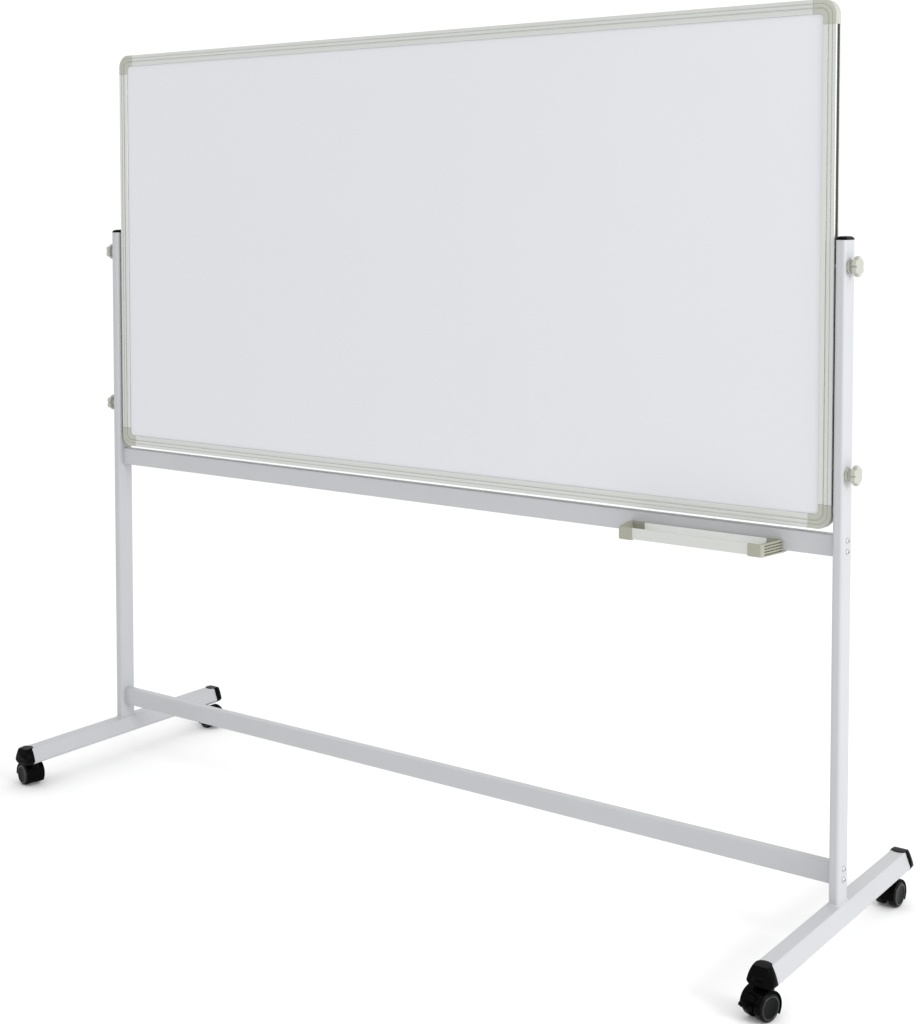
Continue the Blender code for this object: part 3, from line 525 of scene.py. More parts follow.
def leg(side):
    node = f"leg_{side}"
    low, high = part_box(node)
    x = (low.x + high.x) / 2
    y = middle(f"upright_cap_{side}").y
    foot_ends = (low.y, high.y)
    foot = tube(
        foot_outline(),
        foot_outline(TUBE_WALL),
        lambda point, end: (x + point[0], foot_ends[end], low.z + point[1]),
    )
    foot_top = low.z + FOOT_HEIGHT
    heights = (foot_top - TUBE_WALL / 2, high.z)
    upright = tube(
        upright_outline(),
        upright_outline(TUBE_WALL),
        lambda point, end: (x + point[0], y + point[1], heights[end]),
    )
    shape = united(foot, upright, weld_bead(x, y, foot_top))
    crossing = [(f"pivot_knob_{side}", SCREW_RADIUS), (f"lock_stud_{side}", SCREW_RADIUS)]
    crossing += [(bolt_node, BOLT_RADIUS) for bolt_node in bolts_of(side)]
    holes = []
    for crossing_node, radius in crossing:
        centre = middle(crossing_node)
        start = (x - UPRIGHT_WIDTH, centre.y, centre.z)
        end = (x + UPRIGHT_WIDTH, centre.y, centre.z)
        holes.append(cylinder(radius + FIT_GAP, start, end))
    for end_name in ENDS:
        centre = middle(f"caster_stem_{end_name}_{side}")
        start = (centre.x, centre.y, low.z - CUT_MARGIN)
        end = (centre.x, centre.y, low.z + CUT_MARGIN)
        holes.append(cylinder(SCREW_RADIUS + FIT_GAP, start, end))
    piece(cut(shape, *holes), node, PAINT)


def bolts_of(side):
    return [node for node in frame["nodes"] if "crossbar_bolt" in node and f"_{side}_" in node]


def crossbar(node):
    low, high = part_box(node)
    centre = (low + high) / 2
    depth = high.y - low.y
    height = high.z - low.z
    ends = (low.x, high.x)
    shape = tube(
        rectangle(depth, height, BAR_ROUNDING),
        rectangle(depth - 2 * TUBE_WALL, height - 2 * TUBE_WALL, BAR_ROUNDING - TUBE_WALL),
        lambda point, end: (ends[end], centre.y + point[0], centre.z + point[1]),
    )
    plates = []
    holes = []
    half = Vector((END_PLATE, depth - TUBE_WALL, height - TUBE_WALL)) / 2
    for side, sign in SIDES.items():
        x = centre.x + sign * (high.x - centre.x - END_PLATE / 2 - END_PLATE_INSET)
        spot = Vector((x, centre.y, centre.z))
        plates.append(block(spot - half, spot + half))
        for bolt in bolts_of(side):
            place = middle(bolt)
            if abs(place.z - centre.z) < height / 2:
                start = (x - END_PLATE, place.y, place.z)
                end = (x + END_PLATE, place.y, place.z)
                holes.append(cylinder(BOLT_RADIUS + FIT_GAP, start, end, 24))
    piece(cut(united(shape, *plates), *holes), node, PAINT)


def bolt(node):
    """A button-head bolt with a hexagon socket, its head on the upright's outer face."""
    low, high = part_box(node)
    centre = (low + high) / 2
    sign = 1 if centre.x > 0 else -1
    length = high.x - low.x
    outer_x = high.x if sign > 0 else low.x
    seat = Matrix.Translation((outer_x - sign * BOLT_HEAD_HEIGHT, centre.y, centre.z))
    matrix = seat @ Matrix.Rotation(sign * math.pi / 2, 4, "Y")
    dome_height = BOLT_HEAD_HEIGHT * 1.2
    dome_start = 33.0
    seat_radius = BOLT_HEAD_RADIUS - 0.0002
    tip = BOLT_HEAD_HEIGHT - length
    profile = [(0.0, BOLT_HEAD_HEIGHT), (BOLT_SOCKET_MOUTH, BOLT_HEAD_HEIGHT)]
    for step in range(1, 9):
        angle = math.radians(dome_start + (90.0 - dome_start) * step / 8)
        profile.append((BOLT_HEAD_RADIUS * math.sin(angle), dome_height * math.cos(angle)))
    profile += [
        (seat_radius, 0.0),
        (BOLT_RADIUS, 0.0),
        (BOLT_RADIUS, tip + BOLT_CHAMFER),
        (BOLT_RADIUS - BOLT_CHAMFER, tip),
        (0.0, tip),
    ]
    body = turned(profile, 40, matrix)
    floor = BOLT_HEAD_HEIGHT - BOLT_SOCKET_DEPTH
    mouth = BOLT_HEAD_HEIGHT * 2
    cone = 0.0004
    hexagon = [(0, floor - cone), (BOLT_SOCKET_RADIUS, floor), (BOLT_SOCKET_RADIUS, mouth), (0, mouth)]
    socket = turned(hexagon, 6, matrix)
    piece(cut(body, socket), node, BOLT_STEEL)


def upright_cap(side):
    """A plug with a thin flange and a low domed head."""
    node = f"upright_cap_{side}"
    low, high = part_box(node)
    centre = (low + high) / 2
    overhang = (high.x - low.x - UPRIGHT_WIDTH) / 2
    plug_overlap = 0.001
    seat = low.z + PLUG_LENGTH - plug_overlap + FIT_GAP
    flange = 0.0016
    rim = 0.0004
    dome_inset = 0.0007
    dome_reach = 0.0065
    half_width = UPRIGHT_WIDTH / 2 + overhang
    half_depth = UPRIGHT_DEPTH / 2 + overhang
    outline = upright_outline(-overhang, 8)
    levels = [(rim, 0.0), (0.0, rim), (0.0, flange - rim), (rim, flange)]
    dome = high.z - seat - flange
    for angle in quarter_turn(8):
        inset = dome_inset + dome_reach * (1 - math.cos(angle))
        levels.append((inset, flange + dome * math.sin(angle)))
    rings = []
    for inset, z in levels:
        shrink_x = 1 - inset / half_width
        shrink_y = 1 - 2 * inset / half_depth
        rings.append([(centre.x + x * shrink_x, centre.y + y * shrink_y, seat + z) for x, y in outline])
    plug_outline = upright_outline(TUBE_WALL + FIT_GAP, 4)
    plug_ends = (low.z, seat + plug_overlap)
    plug = loft([[(centre.x + x, centre.y + y, z) for x, y in plug_outline] for z in plug_ends])
    piece(united(loft(rings), plug), node, BLACK_PLASTIC)


def foot_cap_outline(bow_height):
    """The cap's section: proud of the foot's, flush with its base, and with its slopes bowed outwards."""
    widest = Vector((FOOT_WIDEST_HALF + FOOT_CAP_PROUD, FOOT_WIDEST_ABOVE_BASE))
    top = Vector((FOOT_TOP_HALF + FOOT_CAP_PROUD / 2, FOOT_HEIGHT + FOOT_CAP_PROUD))
    outwards = Vector((top.y - widest.y, widest.x - top.x)).normalized()
    base_round = 0.0032
    side_round = 0.0042
    top_round = 0.0026
    right = [(FOOT_BOTTOM_HALF, 0.0, base_round), (*widest, side_round)]
    for step in range(1, 8):
        share = step / 8
        bow = 4 * bow_height * share * (1 - share)
        right.append((*(widest.lerp(top, share) + outwards * bow), 0.0))
    right.append((*top, top_round))
    left = [(-x, z, radius) for x, z, radius in reversed(right)]
    return rounded(right + left, 6)


def foot_cap(end_name, side):
    """A cap with bowed sides, a rounded-off end, and a tongue that lies on the tube's flat top."""
    node = f"foot_cap_{end_name}_{side}"
    low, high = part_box(node)
    end = ENDS[end_name]
    x = (low.x + high.x) / 2
    leg_low, leg_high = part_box(f"leg_{side}")
    start = leg_high.y if end > 0 else -leg_low.y
    length = (high.y if end > 0 else -low.y) - start
    base = leg_low.z
    middle_z = FOOT_HEIGHT / 2
    overlap = 0.001
    rim = 0.0004
    taper = 0.0007
    edge_start = length * 0.72
    edge = 0.0030
    edge_inset = 0.0028
    front_inset = 0.012
    front_flatness = 0.8
    levels = [(FIT_GAP, rim, FOOT_CAP_BOW), (FIT_GAP + rim, 0.0, FOOT_CAP_BOW)]
    for step in range(1, 7):
        share = step / 6
        swell = FOOT_CAP_BOW * (1 + math.sin(math.pi * share))
        levels.append((edge_start * share, taper * share, swell))
    for angle in quarter_turn(6)[1:]:
        inset = taper + edge_inset * (1 - math.cos(angle))
        levels.append((edge_start + edge * math.sin(angle), inset, FOOT_CAP_BOW))
    front = length - edge_start - edge
    for angle in quarter_turn(5)[1:]:
        inset = taper + edge_inset + front_inset * math.sin(angle)
        out = edge_start + edge + front * (1 - math.cos(angle)) ** front_flatness
        levels.append((out, inset, FOOT_CAP_BOW))
    rings = []
    for out, inset, bow_height in levels:
        outline = foot_cap_outline(bow_height)
        shrink_x = 1 - inset / FOOT_WIDEST_HALF
        shrink_z = 1 - inset / middle_z
        y = end * (start + out)
        rings.append([(x + u * shrink_x, y, base + middle_z + (v - middle_z) * shrink_z) for u, v in outline])
    plug_outline = foot_outline(TUBE_WALL + FIT_GAP, 4)
    plug_ends = (end * (start - PLUG_LENGTH), end * (start + overlap))
    plug = loft([[(x + u, y, base + v) for u, v in plug_outline] for y in plug_ends])
    tongue_rim = 0.0005
    tongue_levels = ((0.0, FIT_GAP), (0.0, FOOT_CAP_PROUD - tongue_rim), (tongue_rim, FOOT_CAP_PROUD))
    tongue_rings = []
    for inset, z in tongue_levels:
        half = FOOT_TOP_HALF - inset
        reach = FOOT_CAP_TONGUE - inset
        arc = [(half, overlap * 2)]
        for step in range(25):
            angle = math.pi * step / 24
            arc.append((half * math.cos(angle), -reach * math.sin(angle)))
        arc.append((-half, overlap * 2))
        tongue_rings.append([(x + u, end * (start + v), base + FOOT_HEIGHT + z) for u, v in arc])
    piece(united(loft(rings), plug, loft(tongue_rings)), node, BLACK_PLASTIC)


# ------------ board


def face_line(depth_share=1.0):
    """The front half of the section from the edge inwards: three flat bands and the grooves between them."""
    edge_round = 0.0014
    groove_round = 0.0003
    inner_round = 0.0010
    line = [(0.0, BOARD_HALF_THICKNESS, edge_round)]
    grooves = (
        (OUTER_GROOVE, OUTER_GROOVE_HALF, OUTER_GROOVE_DEPTH, 0.0, BAND_DROP),
        (INNER_GROOVE, INNER_GROOVE_HALF, INNER_GROOVE_DEPTH, BAND_DROP, INNER_BAND_DROP),
    )
    for centre, half, depth, drop_before, drop_after in grooves:
        floor = BOARD_HALF_THICKNESS - depth * depth_share
        line += [
            (centre - half, BOARD_HALF_THICKNESS - drop_before, groove_round),
            (centre - half + GROOVE_DRAFT, floor, 0.0),
            (centre + half - GROOVE_DRAFT, floor, 0.0),
            (centre + half, BOARD_HALF_THICKNESS - drop_after, groove_round),
        ]
    line.append((RAIL_FACE, BOARD_HALF_THICKNESS - INNER_BAND_DROP, inner_round))
    return line


def rail_outline():
    """The rail's section as (way in from the edge, way through the board)."""
    upper = [
        (CHANNEL_DEPTH, CHANNEL_HALF, 0.0003),
        (0.0, CHANNEL_HALF, 0.0005),
        *face_line(),
        (RAIL_FACE, SLOT_HALF, 0.0003),
        (SLOT_START, SLOT_HALF, 0.0),
    ]
    lower = [(x, -y, radius) for x, y, radius in reversed(upper)]
    return rounded(upper + lower, 4)


def paint_channel_shade(rail, axis, edge):
    """A dark copy of the aluminium on the faces of the channel in a rail's outer side: painted shade for the
    channel's hollow.
    """
    rail.data.materials.append(PAINTED_SHADE_ALUMINIUM)
    for face in rail.data.polygons:
        way_in = abs(edge - face.center[axis])
        if abs(face.center.y) < CHANNEL_HALF + 0.0001 and way_in < CHANNEL_DEPTH + 0.0001:
            face.material_index = 1


def rails():
    outline = rail_outline()
    for side, sign in SIDES.items():
        node = f"frame_profile_{side}"
        low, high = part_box(node)
        edge = high.x if sign > 0 else low.x
        rings = [[(edge - sign * u, v, z) for u, v in outline] for z in (low.z, high.z)]
        centre = middle(f"pivot_knob_{side}")
        start = (edge - 0.02, centre.y, centre.z)
        bore = cylinder(SCREW_RADIUS + FIT_GAP, start, (edge + 0.02, centre.y, centre.z))
        rail = piece(cut(loft(rings), bore), node, ALUMINIUM["Z"])
        paint_channel_shade(rail, 0, edge)
    for level, sign in LEVELS.items():
        node = f"frame_profile_{level}"
        low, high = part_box(node)
        edge = high.z if sign > 0 else low.z
        rings = [[(x, v, edge - sign * u) for u, v in outline] for x in (low.x, high.x)]
        paint_channel_shade(piece(loft(rings), node, ALUMINIUM["X"]), 2, edge)


def corner_path(inset, steps=14):
    """Points round a corner cover at a distance in from its outer edge, from one leg's end to the other's."""
    tightening = (CORNER_RADIUS - CORNER_INNER_RADIUS) / RAIL_FACE
    reach = CORNER_RADIUS - inset * tightening
    centre = inset + reach
    points = []
    for angle in quarter_turn(steps):
        points.append((centre - reach * math.sin(angle), centre - reach * math.cos(angle)))
    soft_end = CORNER_LEG - 0.0004
    return [(CORNER_LEG, inset), (soft_end, inset)] + points + [(inset, soft_end), (inset, CORNER_LEG)]


def corner_cover(level, side):
    """A moulded corner that carries the rails' bands round on arcs about one centre."""
    node = f"corner_cover_{level}_{side}"
    low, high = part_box(node)
    sign_x = SIDES[side]
    sign_z = LEVELS[level]
    corner_x = high.x if sign_x > 0 else low.x
    corner_z = high.z if sign_z > 0 else low.z
    half_line = face_line(0.7)
    section = rounded(half_line + [(x, -y, radius) for x, y, radius in reversed(half_line)], 4)
    columns = [corner_path(inset) for inset, _ in section]
    rings = []
    count = len(columns[0])
    for i in range(count):
        pinch = 0.00025 if i in (0, count - 1) else 0.0
        ring = []
        for column, (_, y) in zip(columns, section):
            u, w = column[i]
            through = y - math.copysign(pinch, y)
            ring.append((corner_x - sign_x * u, through, corner_z - sign_z * w))
        rings.append(ring)
    far = CORNER_LEG * 1.2
    near_corner = Vector((corner_x - sign_x * SLOT_START, -SLOT_HALF, corner_z - sign_z * SLOT_START))
    far_corner = Vector((corner_x - sign_x * far, SLOT_HALF, corner_z - sign_z * far))
    slot_low = Vector(map(min, near_corner, far_corner))
    slot_high = Vector(map(max, near_corner, far_corner))
    piece(cut(loft(rings), block(slot_low, slot_high)), node, PALE_PLASTIC)


# ------------ knobs


def star_head(bottom, top, matrix):
    """A six-petal grip with rounded edges and a shallow round hollow in its face."""
    points = KNOB_LOBES * 16
    fullness = 0.6
    edge = 0.0022
    levels = []
    for angle in quarter_turn(6):
        levels.append((bottom + edge * math.sin(angle), edge * 0.8 * (math.sin(angle) - 1)))
    for angle in quarter_turn(6):
        levels.append((top - edge + edge * math.sin(angle), edge * (math.cos(angle) - 1)))
    rings = []
    for z, out in levels:
        ring = []
        for i in range(points):
            angle = 2 * math.pi * i / points
            petal = abs(math.cos(KNOB_LOBES * angle / 2)) ** fullness
            radius = KNOB_VALLEY + (KNOB_PEAK - KNOB_VALLEY) * petal + out
            ring.append(matrix @ Vector((radius * math.cos(angle), radius * math.sin(angle), z)))
        rings.append(ring)
    floor = top - KNOB_HOLLOW_DEPTH
    above = top + 0.0002
    hollow = [(0.0, floor), (KNOB_HOLLOW_RADIUS, floor), (KNOB_HOLLOW_RADIUS + 0.0008, above), (0.0, above)]
    return cut(loft(rings), turned(hollow, 48, matrix))


def knob_body(head_top, matrix):
    """The collar on the upright, a waisted neck and the grip, along +Z from the upright's face."""
    head_bottom = head_top - KNOB_GRIP_HEIGHT
    round_over = 0.001
    rim = 0.0003
    waist = KNOB_NECK_RADIUS - 0.0006
    flare = 0.0012
    neck_top = head_bottom + 0.001
    neck_bottom = KNOB_COLLAR_HEIGHT + 0.0006
    inside_head = head_bottom + 0.002
    profile = [(0.0, inside_head), (KNOB_NECK_RADIUS + 0.001, inside_head)]
    for step in range(7):
        share = step / 6
        z = neck_top + (neck_bottom - neck_top) * share
        profile.append((waist + flare * (2 * share - 1) ** 2, z))
    profile += [
        (KNOB_COLLAR_RADIUS - round_over, KNOB_COLLAR_HEIGHT),
        (KNOB_COLLAR_RADIUS - rim, KNOB_COLLAR_HEIGHT - rim),
        (KNOB_COLLAR_RADIUS, KNOB_COLLAR_HEIGHT - round_over),
        (KNOB_COLLAR_RADIUS, rim),
        (KNOB_COLLAR_RADIUS - rim, 0.0),
        (0.0, 0.0),
    ]
    return united(star_head(head_bottom, head_top, matrix), turned(profile, 56, matrix))


def outward_from(face_x, centre, sign):
    return Matrix.Translation((face_x, centre.y, centre.z)) @ Matrix.Rotation(sign * math.pi / 2, 4, "Y")


def lock_knob(side, sign):
    node = f"lock_knob_{side}"
    low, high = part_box(node)
    matrix = outward_from(knob_seat(side, sign), middle(node), sign)
    seat = rod(SCREW_RADIUS + FIT_GAP, STUD_SEAT_DEPTH, -2 * CUT_MARGIN, matrix)
    piece(cut(knob_body(high.x - low.x, matrix), seat), node, PALE_PLASTIC)


def lock_stud(side, sign):
    node = f"lock_stud_{side}"
    low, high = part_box(node)
    outer_x = high.x if sign > 0 else low.x
    matrix = outward_from(outer_x, middle(node), sign)
    piece(threaded_rod(high.x - low.x, matrix), node, ZINC)


def pivot_knob(side, sign):
    """A knob like the lock knob, moulded on the screw that the board turns on."""
    node = f"pivot_knob_{side}"
    low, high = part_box(node)
    outer_x = high.x if sign > 0 else low.x
    inner_x = low.x if sign > 0 else high.x
    seat_x = knob_seat(side, sign)
    matrix = outward_from(seat_x, middle(node), sign)
    tip = -abs(seat_x - inner_x)
    inside_knob = 0.004
    screw_profile = [
        (0.0, inside_knob),
        (SCREW_RADIUS, inside_knob),
        (SCREW_RADIUS, tip + SCREW_CHAMFER),
        (SCREW_RADIUS - SCREW_CHAMFER, tip),
        (0.0, tip),
    ]
    screw = turned(screw_profile, 32, matrix)
    piece(united(knob_body(abs(outer_x - seat_x), matrix), screw), node, PALE_PLASTIC)


def knob_seat(side, sign):
    """Where the knobs' collars start along X, on the upright's outer face."""
    low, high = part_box(f"lock_knob_{side}")
    return low.x if sign > 0 else high.x


def threaded_rod(length, matrix):
    """A stud below z = 0: a plain run inside the knob, then ridges at the pitch of the thread."""
    chamfer = 0.0003
    lead_in = 0.001
    profile = [(0.0, 0.0), (SCREW_RADIUS - chamfer, 0.0), (SCREW_RADIUS, -chamfer)]
    z = -STUD_SEAT_DEPTH
    while z - THREAD_PITCH > -length + lead_in:
        profile += [(SCREW_RADIUS, z), (SCREW_RADIUS - THREAD_DEPTH, z - THREAD_PITCH / 2)]
        z -= THREAD_PITCH
    profile += [(SCREW_RADIUS, z), (SCREW_RADIUS - lead_in, -length), (0.0, -length)]
    return turned(profile, 40, matrix)


# ------------ pen tray


def tray():
    node = "tray_channel"
    low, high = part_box(node)
    floor_z = low.z + TRAY_WALL
    rim = 0.0006
    bend = 0.0010
    front_bend = 0.0012
    corners = [
        (high.y, low.z, bend),
        (low.y, low.z, front_bend),
        (low.y, high.z, rim),
        (low.y + TRAY_WALL, high.z, rim),
        (low.y + TRAY_WALL, floor_z, bend),
        (high.y - TRAY_WALL, floor_z, bend),
        (high.y - TRAY_WALL, high.z, rim),
        (high.y, high.z, rim),
    ]
    outline = rounded(corners, 4)
    rings = [[(x, y, z) for y, z in outline] for x in (low.x, high.x)]
    channel = piece(loft(rings), node, ALUMINIUM["X"])
    channel.data.materials.append(PALER_INSIDE_AND_PAINTED_LIGHT)
    tolerance = 0.0002
    front = low.y + TRAY_WALL - tolerance
    back = high.y - TRAY_WALL + tolerance
    # The faces inside the trough take the paler aluminium, with its painted light.
    for face in channel.data.polygons:
        if front < face.center.y < back and face.center.z > floor_z - tolerance:
            face.material_index = 1
    for side, sign in SIDES.items():
        tray_end_cap(side, sign)


def tray_end_cap(side, sign):
    """A moulded hollow end, slanted in plan: slots across its end wall and a lip under the crossbar."""
    node = f"tray_end_cap_{side}"
    low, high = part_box(node)
    outer_x = high.x if sign > 0 else low.x
    length = high.x - low.x
    back_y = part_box("crossbar_upper")[0].y - FIT_GAP
    depth = back_y - low.y
    slope = TRAY_SLANT / depth

    def spot(forward, inward):
        """A place in plan, measured from the cap's outer corner at the crossbar."""
        return outer_x - sign * inward, back_y - forward

    def slab(corners, bottom, top):
        places = [spot(forward, inward) for forward, inward in corners]
        return loft([[(x, y, z) for x, y in places] for z in (bottom, top)])

    soft = 0.0006
    rings = []
    for inset, z in ((soft, low.z), (0.0, low.z + soft), (0.0, high.z - soft), (soft, high.z)):
        corners = [
            (inset, inset, 0.0012),
            (inset, length - inset, 0.0002),
            (depth - inset, length - inset, 0.0002),
            (depth - inset, TRAY_SLANT + inset, TRAY_CORNER),
        ]
        rings.append([(*spot(*point), z) for point in rounded(corners, 8)])
    shell = loft(rings)
    beyond = 2 * CUT_MARGIN
    back = TRAY_CAP_SKIN
    front = depth - TRAY_CAP_SKIN
    hollow_back = [(back, TRAY_CAP_END + back * slope), (back, length + beyond)]
    hollow_front = [(front, length + beyond), (front, TRAY_CAP_END + front * slope)]
    cutters = [slab(hollow_back + hollow_front, low.z + TRAY_CAP_SKIN, high.z + beyond)]
    slot_back = TRAY_SLOT_BACK_MARGIN
    slot_front = depth - TRAY_SLOT_FRONT_MARGIN
    slot_floor = [(place, place * slope + TRAY_SLOT_DEPTH) for place in (slot_back, slot_front)]
    slot_mouth = [(slot_front, -beyond), (slot_back, -beyond)]
    for slot in range(TRAY_SLOTS):
        z = (low.z + high.z) / 2 + TRAY_SLOT_PITCH * (slot - (TRAY_SLOTS - 1) / 2)
        cutters.append(slab(slot_floor + slot_mouth, z - TRAY_SLOT_HEIGHT / 2, z + TRAY_SLOT_HEIGHT / 2))
    lip_reach = high.y - back_y
    lip_draft = 0.0008
    lip_back = [(-lip_reach, lip_draft), (-lip_reach, length - lip_draft)]
    lip_front = [(TRAY_CAP_SKIN, length), (TRAY_CAP_SKIN, 0.0)]
    lip = slab(lip_back + lip_front, low.z, low.z + TRAY_LIP_HEIGHT)
    piece(cut(united(shell, lip), *cutters), node, GREY_PLASTIC)


# ------------ casters


WHEEL_RADIUS = middle("caster_axle_front_right").z


def on_wheel_arc(radius, degrees):
    """The point in YZ at this angle about the axle: 0 towards the stem, 90 up, 180 to the trailing side."""
    angle = math.radians(degrees)
    return (-TRAIL + radius * math.cos(angle), WHEEL_RADIUS + radius * math.sin(angle))


def swept_about_axle(section, first, last, steps, matrix):
    """A section of (x, radius) points carried round the axle between two angles."""
    rings = []
    for step in range(steps + 1):
        degrees = first + (last - first) * step / steps
        ring = []
        for x, radius in section:
            y, z = on_wheel_arc(radius, degrees)
            ring.append(matrix @ Vector((x, y, z)))
        rings.append(ring)
    return loft(rings)


def plate(outline, half_width, matrix, soft=0.0):
    """An outline in YZ given a width along X, its rims drawn in a little where `soft` is set."""
    centre = Vector((sum(y for y, _ in outline), sum(z for _, z in outline))) / len(outline)
    reach = max((Vector(point) - centre).length for point in outline)
    levels = [(-half_width, 0.0), (half_width, 0.0)]
    if soft:
        levels = [(-half_width, soft), (soft - half_width, 0.0), (half_width - soft, 0.0), (half_width, soft)]
    rings = []
    for x, inset in levels:
        share = 1 - inset / reach
        points = [centre + (Vector(point) - centre) * share for point in outline]
        rings.append([matrix @ Vector((x, point.x, point.y)) for point in points])
    return loft(rings)


def caster_matrix(corner):
    """The caster's own space: Z on the stem's axis from the floor, and the axle on the -Y side."""
    stem = middle(f"caster_stem_{corner}")
    axle = middle(f"caster_axle_{corner}")
    trail = axle - stem
    yaw = math.atan2(trail.x, -trail.y)
    return Matrix.Translation((stem.x, stem.y, 0.0)) @ Matrix.Rotation(yaw, 4, "Z")


def arc_band(first, last, inner_radii, outer_radii, steps=18):
    """A band about the axle whose two radii change evenly from its first angle to its last."""
    inside = []
    outside = []
    for step in range(steps + 1):
        share = step / steps
        degrees = first + (last - first) * share
        inner = inner_radii[0] + (inner_radii[1] - inner_radii[0]) * share
        outer = outer_radii[0] + (outer_radii[1] - outer_radii[0]) * share
        inside.append(on_wheel_arc(inner, degrees))
        outside.append(on_wheel_arc(outer, degrees))
    return inside + outside[::-1]


def hinge_rod(radius, reach, matrix):
    """A cylinder on the brake's hinge line, reaching equally far to both sides."""
    y, z = on_wheel_arc(BRAKE_HINGE_RADIUS, BRAKE_HINGE_ANGLE)
    return cylinder(radius, *(matrix @ Vector((x, y, z)) for x in (-reach, reach)))


def caster_housing(corner, matrix, braked):
    """The hood over both treads, the web between the wheels and the boss on the stem."""
    inner = FENDER_RADIUS - FENDER_THICKNESS
    rim = 0.0016
    section = [(-FENDER_HALF_WIDTH, inner), (FENDER_HALF_WIDTH, inner)]
    for angle in quarter_turn(5):
        out = FENDER_HALF_WIDTH - rim * (1 - math.cos(angle))
        section.append((out, FENDER_RADIUS - rim + rim * math.sin(angle)))
    section += [(-x, radius) for x, radius in reversed(section[2:])]
    hood = swept_about_axle(section, FENDER_FIRST, FENDER_LAST, 56, matrix)
    web_outline = []
    for step in range(41):
        degrees = FENDER_FIRST + (FENDER_LAST - FENDER_FIRST) * step / 40
        web_outline.append(on_wheel_arc(inner + 0.0008, degrees))
    web = plate(web_outline, HUB_WEB / 2, matrix)
    stem_low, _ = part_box(f"caster_stem_{corner}")
    boss_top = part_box(f"caster_housing_{corner}")[1].z
    chamfer = 0.0006
    flare_top = 0.050
    flare_bottom = 0.047
    inside_hood = 0.040
    boss_profile = [
        (0.0, boss_top),
        (BOSS_RADIUS - chamfer, boss_top),
        (BOSS_RADIUS, boss_top - chamfer),
        (BOSS_RADIUS, flare_top),
        (BOSS_FOOT_RADIUS, flare_bottom),
        (BOSS_FOOT_RADIUS, inside_hood),
        (0.0, inside_hood),
    ]
    boss = turned(boss_profile, 48, matrix)
    bore = rod(SCREW_RADIUS + RUNNING_GAP, boss_top + CUT_MARGIN, stem_low.z - FIT_GAP, matrix)
    axle_start = matrix @ Vector((-HUB_WEB, -TRAIL, WHEEL_RADIUS))
    axle_end = matrix @ Vector((HUB_WEB, -TRAIL, WHEEL_RADIUS))
    shapes = [web, boss]
    cutters = [bore, cylinder(AXLE_RADIUS + RUNNING_GAP, axle_start, axle_end)]
    if braked:
        ear = BRAKE_PIN_REACH + 0.0005
        shapes.append(hinge_rod(BRAKE_EAR_RADIUS, ear, matrix))
        notch_inner = (0.0245, 0.0245)
        notch_outer = (0.040, 0.040)
        notch_gap = 0.0006
        notch = arc_band(132.0, 200.0, notch_inner, notch_outer)
        cutters.append(plate(notch, BRAKE_HALF_WIDTH + notch_gap, matrix))
        cutters.append(hinge_rod(BRAKE_PIN_RADIUS + RUNNING_GAP, ear - 0.0002, matrix))
    piece(cut(united(hood, *shapes), *cutters), f"caster_housing_{corner}", BLACK_PLASTIC)


def caster_stem(corner):
    node = f"caster_stem_{corner}"
    low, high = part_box(node)
    centre = (low + high) / 2
    collar_radius = (high.x - low.x) / 2
    collar_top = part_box("leg_left")[0].z - FIT_GAP
    collar_bottom = collar_top - 0.0028
    rim = 0.0004
    top_chamfer = 0.001
    foot_chamfer = 0.0005
    profile = [
        (0.0, high.z),
        (SCREW_RADIUS - top_chamfer, high.z),
        (SCREW_RADIUS, high.z - top_chamfer),
        (SCREW_RADIUS, collar_top),
        (collar_radius - rim, collar_top),
        (collar_radius, collar_top - rim),
        (collar_radius, collar_bottom + rim),
        (collar_radius - rim, collar_bottom),
        (SCREW_RADIUS, collar_bottom),
        (SCREW_RADIUS, low.z + foot_chamfer),
        (SCREW_RADIUS - foot_chamfer, low.z),
        (0.0, low.z),
    ]
    piece(turned(profile, 40, Matrix.Translation((centre.x, centre.y, 0.0))), node, ZINC)


def caster_axle(corner, matrix):
    half_length = WHEEL_INNER_FACE + WHEEL_WIDTH - AXLE_SHORT_OF_FACE
    along_x = matrix @ Matrix.Translation((0.0, -TRAIL, WHEEL_RADIUS)) @ Matrix.Rotation(math.pi / 2, 4, "Y")
    profile = [
        (0.0, half_length),
        (AXLE_RADIUS - AXLE_CHAMFER, half_length),
        (AXLE_RADIUS, half_length - AXLE_CHAMFER),
        (AXLE_RADIUS, AXLE_CHAMFER - half_length),
        (AXLE_RADIUS - AXLE_CHAMFER, -half_length),
        (0.0, -half_length),
    ]
    piece(turned(profile, 32, along_x), f"caster_axle_{corner}", ZINC)


